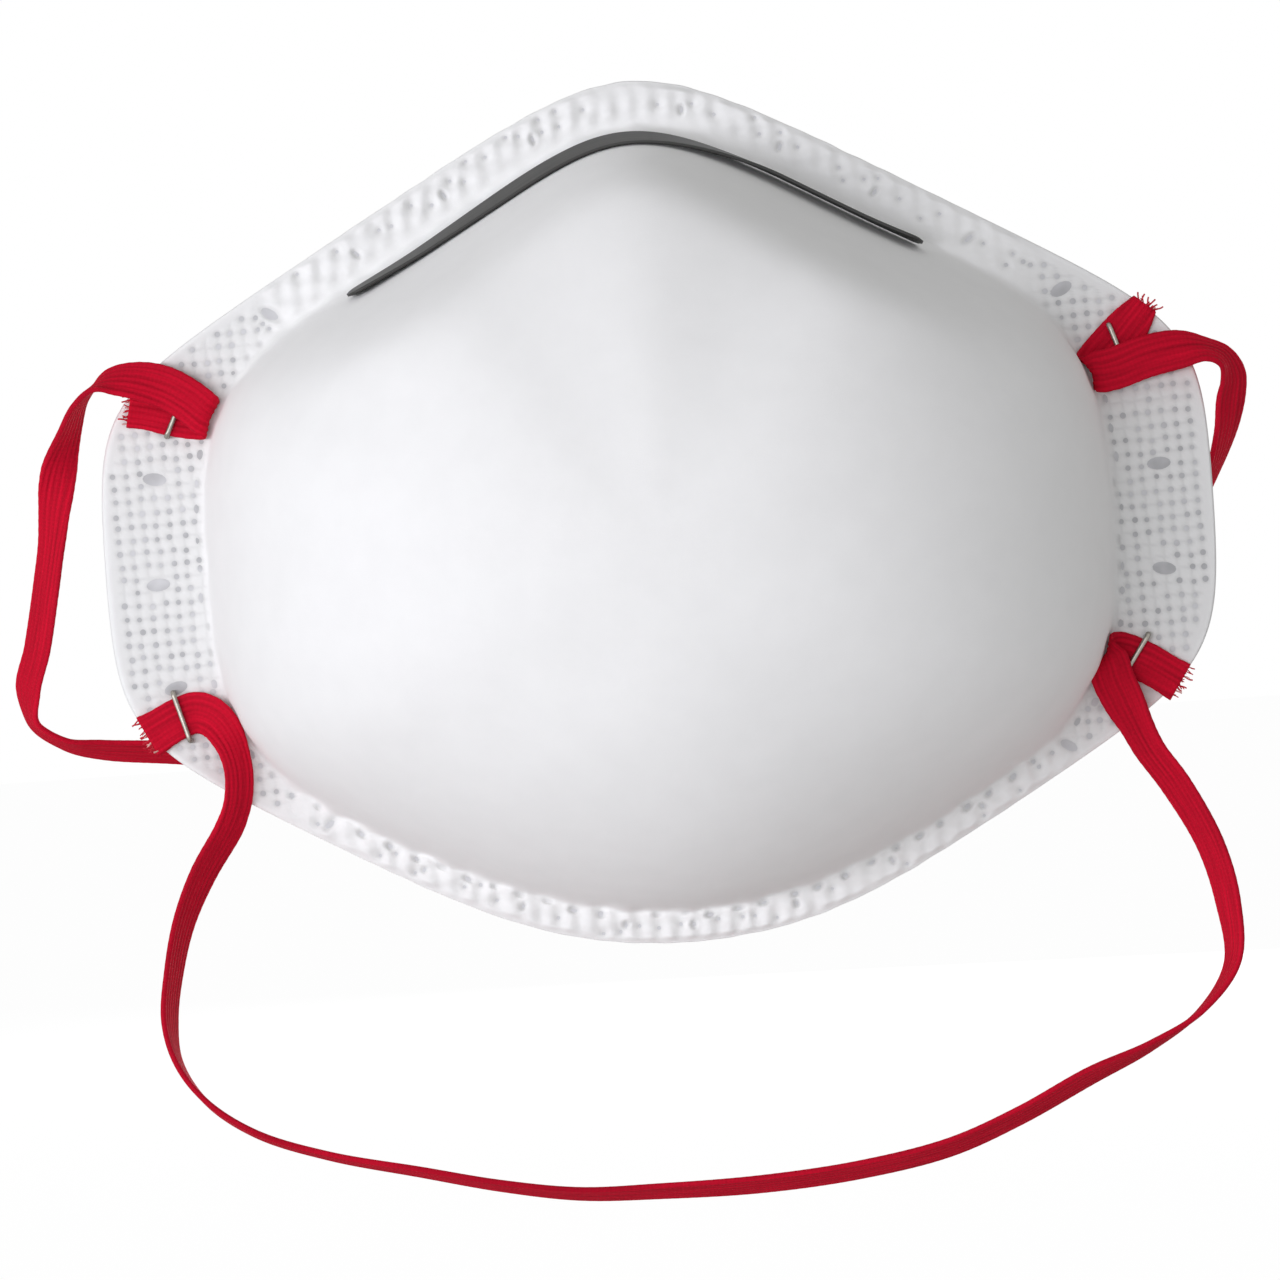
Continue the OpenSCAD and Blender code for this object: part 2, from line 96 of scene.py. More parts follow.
# Straps: points on the middle of the band, the direction of its width there, and its share of the full width
TAIL_Y, OVER_Y = -1.65, -3.25
FOLD_Y = (TAIL_Y + OVER_Y) / 2
UPPER_ROUTE = (
    ((-69.2, TAIL_Y, 19.2), (0.2, 0, 1), 0.9),
    ((-66.5, TAIL_Y, 18.6), (0.25, 0, 1), 0.95),
    ((-64, TAIL_Y, 17.9), (0.2, 0, 1), 1),
    ((-61, TAIL_Y, 17.2), (0.3, 0, 0.95), 1),
    ((-59.2, TAIL_Y - 0.2, 17), (0.4, 0, 0.9), 1),
    ((-58.7, FOLD_Y, 17.1), (0.42, 0, 0.9), 1),
    ((-59.2, OVER_Y + 0.2, 17.6), (0.42, 0, 0.9), 1),
    ((-61, OVER_Y, 19.3), (0.38, 0, 0.92), 1),
    ((-64, OVER_Y, 21.3), (0.3, 0.05, 0.92), 1),
    ((-68, OVER_Y, 22.6), (0.15, 0.45, 0.85), 1),
    ((-71.4, -2.8, 22.8), (0, 0.75, 0.6), 1),
    ((-73.8, -2.6, 22), (0.12, 0.95, 0.2), 1),
    ((-75.8, -2, 20), (0.3, 0.9, 0.2), 1),
    ((-77.4, -1, 16.6), (0.5, 0.8, 0.2), 1),
    ((-78.8, 0.2, 13.2), (0.75, 0.55, 0.1), 0.94),
    ((-79.6, 1, 10.4), (0.95, 0.15, 0), 0.86),
    ((-80.4, 2, 6.6), (0.85, -0.42, 0), 0.86),
    ((-81.2, 3.2, 2), (0.68, -0.72, 0), 0.95),
    ((-82.4, 4.6, -3.6), (0.63, -0.76, 0), 1),
    ((-84.4, 6.6, -12), (0.63, -0.76, 0), 1),
    ((-86.2, 8.2, -17.6), (0.58, -0.8, 0), 1),
    ((-85.8, 9.6, -22), (0.15, -0.95, 0.2), 1),
    ((-82, 11, -25), (0, -0.95, 0.25), 1),
    ((-77, 12.2, -26.2), (0, -0.9, 0.42), 1),
    ((-68, 14, -27.2), (0, -0.85, 0.5), 1),
    ((-52, 17, -29), (0, -0.8, 0.55), 1),
    ((-30, 20, -30), (0, -0.75, 0.65), 1),
    ((-4, 21.6, -29.4), (0, -0.75, 0.65), 1),
    ((22, 20.6, -26.4), (0, -0.75, 0.65), 1),
    ((46, 17.4, -20.4), (-0.1, -0.8, 0.6), 1),
    ((62, 13.4, -13), (-0.2, -0.9, 0.35), 1),
    ((71, 9.6, -5.4), (-0.25, -0.95, 0.1), 1),
    ((75, 6.2, 1.4), (-0.35, -0.92, 0), 1),
    ((76.8, 3.2, 6.6), (-0.58, -0.8, -0.05), 1),
    ((77.4, 1, 10.4), (-0.7, -0.7, -0.05), 1),
    ((77.6, -0.6, 13.2), (-0.62, -0.75, -0.2), 1),
    ((76.4, -2, 15.8), (-0.3, -0.85, -0.4), 1),
    ((73.8, -2.7, 17), (0, -0.8, -0.6), 1),
    ((70.6, -3, 17.1), (0, -0.4, -0.9), 1),
    ((66, OVER_Y, 16.4), (0.1, -0.1, -1), 1),
    ((62, OVER_Y, 15.2), (0.3, 0, -0.95), 1),
    ((59.9, OVER_Y + 0.1, 14.9), (0.42, 0, -0.9), 1),
    ((58.9, FOLD_Y, 15.2), (0.48, 0, -0.88), 1),
    ((59.7, TAIL_Y - 0.1, 16.3), (0.6, 0, -0.8), 1),
    ((62.6, TAIL_Y, 19), (0.68, 0, -0.72), 1.05),
    ((64.8, TAIL_Y, 21.4), (0.7, 0, -0.7), 0.92),
    ((66.6, TAIL_Y, 23.5), (0.72, 0, -0.7), 0.6),
)
LOWER_ROUTE = (
    ((-69.8, TAIL_Y, -24.8), (-0.45, 0, 0.9), 0.98),
    ((-65, TAIL_Y, -22.4), (-0.4, 0, 0.9), 0.96),
    ((-63.1, TAIL_Y, -22), (-0.15, 0, 1), 0.98),
    ((-61.5, TAIL_Y - 0.5, -22.5), (0.12, 0.02, 0.96), 0.95),
    ((-60.2, TAIL_Y - 1.2, -23.6), (0.38, 0.12, 0.85), 0.89),
    ((-59.2, TAIL_Y - 1.9, -25.2), (0.58, 0.26, 0.62), 0.83),
    ((-58.4, TAIL_Y - 2.35, -27.3), (0.72, 0.45, 0.32), 0.79),
    ((-57.9, TAIL_Y - 2.4, -30.2), (0.8, 0.58, 0.08), 0.78),
    ((-58.2, TAIL_Y - 1.8, -33.6), (0.75, 0.65, 0), 0.82),
    ((-59, -2.6, -36), (0.7, 0.7, -0.1), 0.86),
    ((-60, -2.6, -38), (0.64, 0.74, -0.15), 0.92),
    ((-63.6, -2.6, -43.4), (0.5, 0.84, -0.22), 1),
    ((-66.6, -2.6, -49.6), (0.38, 0.9, -0.2), 1),
    ((-68.4, -2.8, -56), (0.32, 0.94, -0.1), 1),
    ((-69.4, -3, -62.6), (0.26, 0.96, 0), 1),
    ((-68.6, -3, -68.4), (0.03, 1, 0), 1),
    ((-65.2, -3, -73.8), (-0.05, 0.98, -0.1), 1),
    ((-59, -3, -78.4), (-0.06, 0.98, -0.14), 1),
    ((-49.6, -2.8, -82), (-0.05, 0.98, -0.17), 1),
    ((-37.6, -2.6, -85), (-0.05, 0.97, -0.22), 1),
    ((-27, -2.4, -87.6), (0, 0.96, -0.26), 1),
    ((-16.6, -2.2, -89.4), (0, 0.95, -0.3), 1),
    ((-6, -2, -89.8), (0, 0.93, -0.36), 1),
    ((7.4, -2, -89.8), (0, 0.91, -0.42), 1),
    ((20.8, -2, -88.8), (0, 0.9, -0.44), 1),
    ((33, -2.2, -86.6), (0.05, 0.9, -0.45), 1),
    ((42.6, -2.4, -83), (0.1, 0.9, -0.43), 1),
    ((52.2, -2.6, -78.4), (0.15, 0.91, -0.4), 1),
    ((60.4, -2.8, -75), (0.08, 0.97, -0.22), 1),
    ((67.4, -3, -70.8), (0, 1, -0.05), 1),
    ((72, -3, -64.6), (-0.24, 0.97, 0), 1),
    ((72, -2.8, -56.6), (-0.48, 0.87, 0), 1),
    ((70.2, -2.6, -48.8), (-0.55, 0.82, -0.1), 1),
    ((66.3, -2.6, -40.8), (-0.6, 0.76, -0.2), 1),
    ((63.2, -2.6, -36), (-0.64, 0.74, -0.15), 1),
    ((62.2, -2.6, -34), (-0.67, 0.7, -0.15), 1),
    ((61.3, -3, -32), (-0.72, 0.62, -0.2), 1),
    ((59.9, OVER_Y, -28.8), (-0.8, 0.3, -0.4), 1),
    ((58.8, OVER_Y, -26), (-0.8, 0.1, -0.55), 1),
    ((58.4, OVER_Y, -24.2), (-0.7, 0, -0.7), 1),
    ((58.3, FOLD_Y, -22.8), (-0.62, 0, -0.78), 1),
    ((59.8, TAIL_Y, -22.6), (-0.55, 0, -0.83), 1),
    ((62.8, TAIL_Y, -23.8), (-0.55, 0, -0.83), 0.95),
    ((67.8, TAIL_Y, -27.1), (-0.55, 0, -0.83), 0.9),
)
# Staples: middle of the crown and its turn from upright, in degrees
STAPLES = ((-63, 18, 26), (62.6, 17.8, -18), (-65.1, -22.4, -16), (62, -23.2, 35))
CROWN = 6.8
# Turn of the grid of weld spots, in radians
SPOT_TURN = 0.03
# Spacing of the looser welds over the nose and under the chin
LOOSE_PITCH = 2.6


def srgb(code):
    """Linear colour of an sRGB hex value."""
    channels = [int(code[i : i + 2], 16) / 255 for i in (1, 3, 5)]
    return tuple(c / 12.92 if c < 0.04045 else ((c + 0.055) / 1.055) ** 2.4 for c in channels)


class MaskSettings(bpy.types.PropertyGroup):
    """Sizes and colours of the mask that a user would change."""

    cover_colour: bpy.props.FloatVectorProperty(
        name="Cover", description="Colour of the outer cover web", subtype="COLOR", size=3,
        min=0, max=1, default=srgb("#F3F3F2"),
    )
    lining_colour: bpy.props.FloatVectorProperty(
        name="Lining", description="Colour of the inner lining web", subtype="COLOR", size=3,
        min=0, max=1, default=srgb("#E9E8E4"),
    )
    film_colour: bpy.props.FloatVectorProperty(
        name="Welds", description="Colour of the fused spots on the flange", subtype="COLOR", size=3,
        min=0, max=1, default=srgb("#B9B9BB"),
    )
    strap_colour: bpy.props.FloatVectorProperty(
        name="Straps", description="Colour of the elastic straps", subtype="COLOR", size=3,
        min=0, max=1, default=srgb("#C10929"),
    )
    clip_colour: bpy.props.FloatVectorProperty(
        name="Nose clip", description="Colour of the coated nose clip", subtype="COLOR", size=3,
        min=0, max=1, default=srgb("#262624"),
    )
    foam_colour: bpy.props.FloatVectorProperty(
        name="Foam", description="Colour of the nose foam", subtype="COLOR", size=3,
        min=0, max=1, default=srgb("#CFCFCB"),
    )
    spot_pitch: bpy.props.FloatProperty(
        name="Spot pitch", description="Spacing of the weld spots on the cheeks, in millimetres",
        default=1.75, min=1.2, max=3,
    )
    oval_pitch: bpy.props.FloatProperty(
        name="Oval pitch", description="Spacing of the oval welds along the flange, in millimetres",
        default=14, min=8, max=30,
    )
    dash_pitch: bpy.props.FloatProperty(
        name="Seam pitch", description="Spacing of the welds along the seam, in millimetres",
        default=3.7, min=2, max=8,
    )
    ribs: bpy.props.IntProperty(
        name="Ribs", description="Number of lengthwise ribs across a strap", default=7, min=4, max=16,
    )
    fray: bpy.props.IntProperty(
        name="Fray", description="Number of loose yarns at each cut end of a strap",
        default=16, min=0, max=40,
    )


def settings():
    """Settings of the mask in this scene."""
    return bpy.context.scene.dust_mask


def add(tree, kind, inputs=None, **properties):
    """Adds a node, sets its properties, and sets or links its inputs by name or number."""
    node = tree.nodes.new(kind)
    for name, value in properties.items():
        setattr(node, name, value)
    for socket, value in (inputs or {}).items():
        if isinstance(value, bpy.types.NodeSocket):
            tree.links.new(value, node.inputs[socket])
        else:
            node.inputs[socket].default_value = value
    return node


def new_material(name):
    """Empty node material with its output and Principled shader."""
    material = bpy.data.materials.new(name)
    material.use_nodes = True
    tree = material.node_tree
    tree.nodes.clear()
    shader = add(tree, "ShaderNodeBsdfPrincipled")
    add(tree, "ShaderNodeOutputMaterial", {"Surface": shader.outputs[0]})
    return material, tree, shader


def shade(tree, shader, colour, **sockets):
    """Links or sets the shader's base colour and other sockets."""
    for name, value in {"Base Color": colour, **sockets}.items():
        socket = shader.inputs[name.replace("_", " ")]
        if isinstance(value, bpy.types.NodeSocket):
            tree.links.new(value, socket)
        else:
            socket.default_value = value


def tinted(colour, factor):
    """RGBA of a colour made lighter or darker."""
    return tuple(min(1, c * factor) for c in colour) + (1,)


def object_place(tree):
    """Socket of the place on the object, in metres."""
    return add(tree, "ShaderNodeTexCoord").outputs["Object"]


def grain(tree, size, detail, **more):
    """Socket of noise with grains of about a size in millimetres."""
    inputs = {"Vector": object_place(tree), "Scale": 1 / (size * MM), "Detail": detail, **more}
    return add(tree, "ShaderNodeTexNoise", inputs).outputs[0]


def streaks(tree, line, wide, long):
    """Socket of noise in lengthwise streaks of a width and a length in millimetres."""
    stretch = add(tree, "ShaderNodeMapping", {"Vector": line, "Scale": (1 / wide, 1 / long, 1)})
    inputs = {"Vector": stretch.outputs[0], "Scale": 1.0, "Detail": 3.0}
    return add(tree, "ShaderNodeTexNoise", inputs).outputs[0]


def calculate(tree, operation, *values, **properties):
    """Socket of a calculation with numbers or sockets."""
    inputs = dict(enumerate(values))
    return add(tree, "ShaderNodeMath", inputs, operation=operation, **properties).outputs[0]


def ranged(tree, value, source=(0, 1), target=(0, 1)):
    """Socket of a value carried from one range to another."""
    inputs = {"Value": value, "From Min": source[0], "From Max": source[1],
              "To Min": target[0], "To Max": target[1]}
    return add(tree, "ShaderNodeMapRange", inputs).outputs[0]


def mixed(tree, share, low, high):
    """Socket of a colour between two colours."""
    return add(tree, "ShaderNodeMix", {0: share, 6: low, 7: high}, data_type="RGBA").outputs[2]


def toned(tree, share, colour, low, high):
    """Socket of a colour between two tones of it."""
    return mixed(tree, share, tinted(colour, low), tinted(colour, high))


def bumped(tree, height, strength, depth):
    """Socket of a normal that a height socket raises by a depth in millimetres."""
    inputs = {"Height": height, "Strength": strength, "Distance": depth * MM}
    return add(tree, "ShaderNodeBump", inputs).outputs[0]


def spunbonded_web(name, colour, relief=0.25):
    """Spunbonded polypropylene: fine white fibres laid at random and thinly clouded, so it is matt
    and slightly mottled; where it is pressed at a weld it turns thinner and greyer."""
    material, tree, shader = new_material(name)
    # fibres are 0.02 mm thick, drawn at 0.35 mm so that they show
    fibre = grain(tree, 0.35, 4.0, Roughness=0.65, Distortion=1.2)
    mottle = toned(tree, grain(tree, 5, 3.0), colour, 0.965, 1.02)
    pressed = add(tree, "ShaderNodeAttribute", attribute_name="pressed").outputs["Fac"]
    # the pressed share greys the web; round the staples' legs the same tint is painted shade
    web = mixed(tree, pressed, mottle, tinted(colour, 0.66))
    shade(tree, shader, web, Roughness=0.92, IOR=1.49, Specular_IOR_Level=0.25,
          Sheen_Weight=0.12, Sheen_Roughness=0.5, Normal=bumped(tree, fibre, relief, 0.08))
    return material


def melt_blown_web(name, colour):
    """Melt-blown filter web: very fine fibres in soft clumps, seen only at the rim."""
    material, tree, shader = new_material(name)
    clump = grain(tree, 0.6, 3.0)
    shade(tree, shader, toned(tree, clump, colour, 0.93, 1.02), Roughness=0.95, IOR=1.49,
          Specular_IOR_Level=0.2, Normal=bumped(tree, clump, 0.3, 0.1))
    return material


def needled_felt(name, colour):
    """Needled polyester felt, heat-moulded stiff: crossed coarse fibres, seen only at the rim."""
    material, tree, shader = new_material(name)
    fibre = grain(tree, 0.4, 5.0, Distortion=2.0)
    shade(tree, shader, toned(tree, fibre, colour, 0.88, 1.03), Roughness=0.95, IOR=1.55,
          Specular_IOR_Level=0.2, Normal=bumped(tree, fibre, 0.4, 0.12))
    return material


def fused_film(name, colour):
    """Polypropylene fused to a film under the welding tool: greyer and smoother than the web, clear in
    some places and cloudy in others."""
    material, tree, shader = new_material(name)
    cloudy = ranged(tree, grain(tree, 4, 2.0), source=(0.35, 0.65))
    film = toned(tree, cloudy, colour, 0.86, 1.3)
    # over the nose and under the chin the web is pressed less, and stays paler
    across = add(tree, "ShaderNodeSeparateXYZ", {0: object_place(tree)}).outputs[0]
    cheek = ranged(tree, calculate(tree, "ABSOLUTE", across), source=(44 * MM, 56 * MM))
    pale = mixed(tree, cheek, tinted(colour, 1.25), film)
    patch = grain(tree, 1.4, 2.0)
    shade(tree, shader, pale, Roughness=0.55, IOR=1.49, Normal=bumped(tree, patch, 0.2, 0.05))
    return material


def coated_strip(name, colour):
    """Soft metal strip in a dark plastic coat: drawn lengthwise, satin, rubbed paler in places."""
    material, tree, shader = new_material(name)
    # u is across and v along, both in millimetres; extrusion lines 0.4 mm apart and 12 mm long
    line = add(tree, "ShaderNodeUVMap", uv_map="run").outputs[0]
    drawn = streaks(tree, line, 0.4, 12)
    coat = toned(tree, grain(tree, 6, 3.0), colour, 0.85, 1.18)
    gloss = ranged(tree, drawn, target=(0.42, 0.6))
    shade(tree, shader, coat, Roughness=gloss, IOR=1.5, Normal=bumped(tree, drawn, 0.25, 0.05))
    return material


def polyurethane_foam(name, colour):
    """Cut open-cell foam: small round pores with thin walls between them, matt."""
    material, tree, shader = new_material(name)
    pore = add(tree, "ShaderNodeTexVoronoi", {"Vector": object_place(tree), "Scale": 1 / (0.9 * MM)})
    depth = ranged(tree, pore.outputs["Distance"], source=(0.1, 0.6))
    # the pores are painted darker, as painted shade inside them
    shade(tree, shader, toned(tree, depth, colour, 0.7, 1.04), Roughness=0.95, IOR=1.5,
          Specular_IOR_Level=0.2, Normal=bumped(tree, depth, 0.6, 0.3))
    return material


def woven_elastic(name, colour, ribs, width):
    """Woven elastic: covered rubber cords give lengthwise ribs and streaks where the yarns lie looser,
    crossed by fine picks of red yarn; painted shade darkens the grooves and a painted highlight lightens the
    ribs."""
    material, tree, shader = new_material(name)
    # u is across and v along, both in millimetres; picks are 0.3 mm apart, drawn at 0.55 mm so that they show
    line = add(tree, "ShaderNodeUVMap", uv_map="run").outputs[0]
    part = add(tree, "ShaderNodeSeparateXYZ", {0: line})
    rib = calculate(tree, "MULTIPLY", part.outputs[0], ribs * math.tau / width)
    pick = calculate(tree, "MULTIPLY", part.outputs[1], math.tau / 0.55)
    # painted shade in the grooves between the ribs and a painted highlight on their crowns, carried into the
    # colour
    low = calculate(tree, "MULTIPLY_ADD", calculate(tree, "COSINE", rib), 0.1, -0.4)
    woven = calculate(tree, "MULTIPLY_ADD", calculate(tree, "SINE", pick), 0.04, low)
    rough = calculate(tree, "MULTIPLY_ADD", grain(tree, 0.4, 3.0), 0.4, woven)
    # streaks one yarn wide, 0.5 mm, and about 14 mm long
    level = calculate(tree, "MULTIPLY_ADD", streaks(tree, line, 0.5, 14), 1.4, rough, use_clamp=True)
    shade(tree, shader, toned(tree, level, colour, 0.62, 1.3), Roughness=0.75, IOR=1.5,
          Specular_IOR_Level=0.1, Normal=bumped(tree, woven, 0.3, 0.12))
    return material


def loose_yarn(name, colour):
    """Polyester yarn or rubber thread pulled out of the elastic: thin, curled and a little paler."""
    material, tree, shader = new_material(name)
    twist = grain(tree, 0.3, 2.0)
    shade(tree, shader, toned(tree, twist, colour, 0.7, 1.4), Roughness=0.75, IOR=1.5)
    return material


def drawn_wire(name):
    """Galvanised steel wire, drawn: fine scratches, bright with a warm grey cast."""
    material, tree, shader = new_material(name)
    scratch = grain(tree, 0.5, 4.0)
    zinc = mixed(tree, scratch, srgb("#76726A") + (1,), srgb("#B9B4AA") + (1,))
    shade(tree, shader, zinc, Metallic=1.0, Roughness=ranged(tree, scratch, target=(0.28, 0.5)))
    return material


def painted_floor(name):
    """Matt white studio floor: near white to the camera, with the mask's soft shadow on it."""
    material, tree, _ = new_material(name)
    tree.nodes.clear()
    paint = mixed(tree, grain(tree, 50, 3.0), srgb("#F0F0F0") + (1,), srgb("#F4F4F4") + (1,))
    matt = add(tree, "ShaderNodeBsdfDiffuse", {"Color": paint})
    glow = add(tree, "ShaderNodeEmission", {"Strength": 1.05})
    share = calculate(tree, "MULTIPLY", seen_directly(tree), 0.9)
    both = add(tree, "ShaderNodeMixShader", {0: share, 1: matt.outputs[0], 2: glow.outputs[0]})
    add(tree, "ShaderNodeOutputMaterial", {"Surface": both.outputs[0]})
    return material


def seen_directly(tree):
    """Socket that is 1 for camera, glossy and transmission rays."""
    path = add(tree, "ShaderNodeLightPath")
    first = calculate(tree, "ADD", path.outputs["Is Camera Ray"], path.outputs["Is Glossy Ray"])
    return calculate(tree, "ADD", first, path.outputs["Is Transmission Ray"], use_clamp=True)


def reach(angle, edges, corner):
    """Distance from the middle to a rounded polygon, in each direction in radians."""
    parts = [(np.maximum(0, np.cos(angle - math.radians(d))) / r) ** corner for d, r in edges]
    return sum(parts) ** (-1 / corner)


def rim(angle):
    """Reach of the flange's outer edge."""
    return reach(angle, SEAL_EDGES, SEAL_CORNER)


def seam(angle, inset=0):
    """Reach of the seam between cup and flange, inset into the layers."""
    return reach(angle, [(d, r - inset) for d, r in CUP_EDGES], CUP_CORNER)


def smooth(value, low, high):
    """Smooth step from 0 at low to 1 at high."""
    t = np.clip((value - low) / (high - low), 0, 1)
    return t * t * (3 - 2 * t)


def cup_face(face, angle, lift):
    """Points of a layer face of the cup, from the seam (lift 0) to its front (lift 90 degrees)."""
    inset, level = FACES[face]
    t = np.radians(lift)
    noseward = np.maximum(0, np.sin(angle)) ** 3
    u = np.cos(t) ** (WAY_IN + NOSE_WAY_IN * noseward * np.cos(t))
    outline = seam(angle)
    steep = math.tan(math.radians(BROW_SLOPE)) * outline / CUP_DEPTH
    turn = 1 - (BROW_SIDE + (BROW_TOP - BROW_SIDE) * noseward) / outline
    dome = lambda share: np.sqrt(share * share + 1) - 1
    wall = steep * (1 - u)
    front = 1 - (1 - steep * (1 - turn)) * dome(u) / dome(turn)
    brow = wall * front / (wall**BROW_CORNER + front**BROW_CORNER) ** (1 / BROW_CORNER)
    share = smooth(np.sin(angle), 0.3, 0.8)
    rise = (1 - share) * np.sin(t) ** WAY_OUT + share * brow
    r = seam(angle, inset) * u
    out = level * (1 - rise) + (CUP_DEPTH - inset) * rise
    return np.stack([r * np.cos(angle), -out, r * np.sin(angle) + CUP_FRONT_Z * (1 - u)], -1)


def ripple(x, z, waves, seed):
    """Sum of a few seeded plane waves, about -1 to 1: wavelengths in mm."""
    draw = np.random.default_rng(seed)
    total = np.zeros_like(x)
    for length in waves:
        way, phase = draw.uniform(0, math.tau, 2)
        total += np.sin((x * math.cos(way) + z * math.sin(way)) * math.tau / length + phase)
    return total / len(waves)


def along_outline(distance_from_seam, pitch, starts):
    """Points spaced evenly along a line that follows the seam at a share of the flange's width or a
    distance: x, z and the direction outwards. Each start is an angle range with its first angle."""
    angle = np.linspace(-math.pi, math.pi, 7201)
    r = distance_from_seam(angle)
    x, z = r * np.cos(angle), r * np.sin(angle)
    run = np.concatenate([[0], np.cumsum(np.hypot(np.diff(x), np.diff(z)))])
    found = []
    for first, last, at in starts:
        low, high, origin = (np.interp(math.radians(v), angle, run) for v in (first, last, at))
        steps = np.arange(math.ceil((low - origin) / pitch), math.floor((high - origin) / pitch) + 1)
        spots = np.interp(origin + steps * pitch, run, angle)
        found += [(np.interp(a, angle, x), np.interp(a, angle, z), a) for a in spots]
    return found


def turned(x, z, turn):
    """A place in axes turned by an angle in radians."""
    return x * math.cos(turn) + z * math.sin(turn), z * math.cos(turn) - x * math.sin(turn)


def clear(x, z, welds, gap):
    """Whether a place is clear of every weld by a gap."""
    for cx, cz, long, wide, turn in welds:
        u, v = turned(x - cx, z - cz, turn)
        if (u / (long + gap)) ** 2 + (v / (wide + gap)) ** 2 < 1:
            return False
    return True


def weld_spots():
    """Welds on the flange, each x, z, half length, half width and turn of its length, in mm and radians."""
    own = settings()
    draw = np.random.default_rng(11)
    ovals, dashes, spots = [], [], []
    middle = lambda a: 0.5 * (rim(a) + seam(a))
    starts = ((-180, -90, -176), (90, 180, 172), (-90, 90, -10))
    for x, z, a in along_outline(middle, own.oval_pitch, starts):
        # an oval takes about half the flange's width on the cheeks, and less elsewhere
        half = min(1.6, 0.26 * (rim(a) - seam(a))) * (0.45 + 0.55 * smooth(abs(x), 40, 50))
        ovals.append((x, z, half, max(0.4, 0.53 * half), a))
    for x, z, a in along_outline(lambda a: seam(a) + 1.2, own.dash_pitch, ((-180, 180, 0),)):
        x, z = x + draw.normal(0, 0.25), z + draw.normal(0, 0.25)
        # the dashes thin out towards the nose
        if draw.random() > 1.6 * smooth(z, 10, 40) and clear(x, z, ovals, 0.7):
            dashes.append((x, z, draw.uniform(0.5, 0.75), draw.uniform(0.36, 0.5), a + math.pi / 2))
    # a close even grid on the cheeks, and a looser, smaller one over the nose and under the chin
    for pitch, jitter, cheek in ((own.spot_pitch, 0.1, True), (LOOSE_PITCH, 0.35, False)):
        count = int(80 / pitch)
        for i, j in itertools.product(range(-count, count + 1), repeat=2):
            dx, dz = draw.normal(0, jitter), draw.normal(0, jitter)
            chance, size = draw.random(), draw.random()
            x, z = turned(i * pitch, j * pitch, -SPOT_TURN)
            x, z = x + dx, z + dz
            a, r = np.array(math.atan2(z, x)), math.hypot(x, z)
            inside, outside = r - seam(a), rim(a) - r
            cheeks = smooth(abs(x), 46, 54)
            if cheek:
                wanted = chance < cheeks * 0.97 and inside > 1.1 and outside > 1.3
                half = 0.3 + 0.12 * size
            else:
                wanted = chance < (1 - cheeks) * 0.8 and inside > (2.6 if z > 0 else 1.2) and outside > 0.7
                wanted = wanted and (cheeks == 0 or clear(x, z, spots, 0.5))
                half = 0.2 + 0.16 * size
            if wanted and clear(x, z, ovals, 0.6) and clear(x, z, dashes, 0.5):
                spots.append((x, z, half, half, 0))
    return np.array(ovals), np.array(dashes), np.array(spots, float)


def flange_relief(x, z, welds):
    """Height of the quilted web over the welded plane, and how far it is pressed, at flange points."""
    ovals, dashes, spots = welds
    tree = KDTree(len(spots))
    for i, spot in enumerate(spots):
        tree.insert((spot[0], spot[1], 0), i)
    tree.balance()
    near = np.array([tree.find((a, b, 0))[2] for a, b in zip(x.ravel(), z.ravel())]).reshape(x.shape)
    # 1 over the nose and under the chin, 0 on the cheeks
    loose = 1 - smooth(np.abs(x), 46, 56)
    spot_reach, line_reach, pressed_depth, puff_height = 0.66 - 0.2 * loose, 0.32, 0.22, 0.5
    pressed = np.exp(-((near / spot_reach) ** 2))
    # the welding tool's fine grid also marks the cheeks between its spots
    pitch = settings().spot_pitch
    on_grid = turned(x, z, SPOT_TURN)
    line = np.minimum(*(np.abs(place - pitch * np.round(place / pitch)) for place in on_grid))
    angle = np.arctan2(z, x)
    to_edge, to_foot = rim(angle) - np.hypot(x, z), np.hypot(x, z) - seam(angle)
    inner = smooth(to_edge, 0.9, 1.9)
    pressed = np.maximum(pressed, 0.55 * inner * (1 - loose) * np.exp(-((line / line_reach) ** 2)))
    for cx, cz, long, wide, turn in np.concatenate([ovals, dashes]):
        u, v = turned(x - cx, z - cz, turn)
        pressed = np.maximum(pressed, np.exp(-(((u / long) ** 2 + (v / wide) ** 2) ** 2) * 0.6))
    # the staples' legs draw the web in; its darker tint round each leg is painted shade in the dimple
    for sx, sz, turn in STAPLES:
        for side in (-1, 1):
            lx = sx + side * CROWN / 2 * math.sin(math.radians(turn))
            lz = sz + side * CROWN / 2 * math.cos(math.radians(turn))
            pressed = np.maximum(pressed, np.exp(-((x - lx) ** 2 + (z - lz) ** 2) / 0.8))
    # between the looser welds the web stands up in small pillows
    pillow = -0.5 * sum(np.cos(place * math.tau / LOOSE_PITCH) for place in on_grid)
    uneven = 0.3 * ripple(x, z, (5, 7, 9), 3) + 0.3 * ripple(x, z, (2.3, 2.7, 3.1, 3.7), 4)
    puff = puff_height * loose * (1 + 0.5 * pillow + uneven)
    height = -pressed_depth * pressed + puff * (1 - pressed) * (1 - 0.6 * np.exp(-((near / 1.1) ** 2)))
    # the relief fades to the rim and to the cup's foot, over a longer way at the nose
    height = height * smooth(to_edge, 0.1, 1.0) * smooth(to_foot, 0.1, 0.8 + 2.2 * smooth(z, 20, 40))
    return height - 0.2 * np.exp(-((to_edge / 0.3) ** 2)), pressed * (1 - 0.35 * loose)


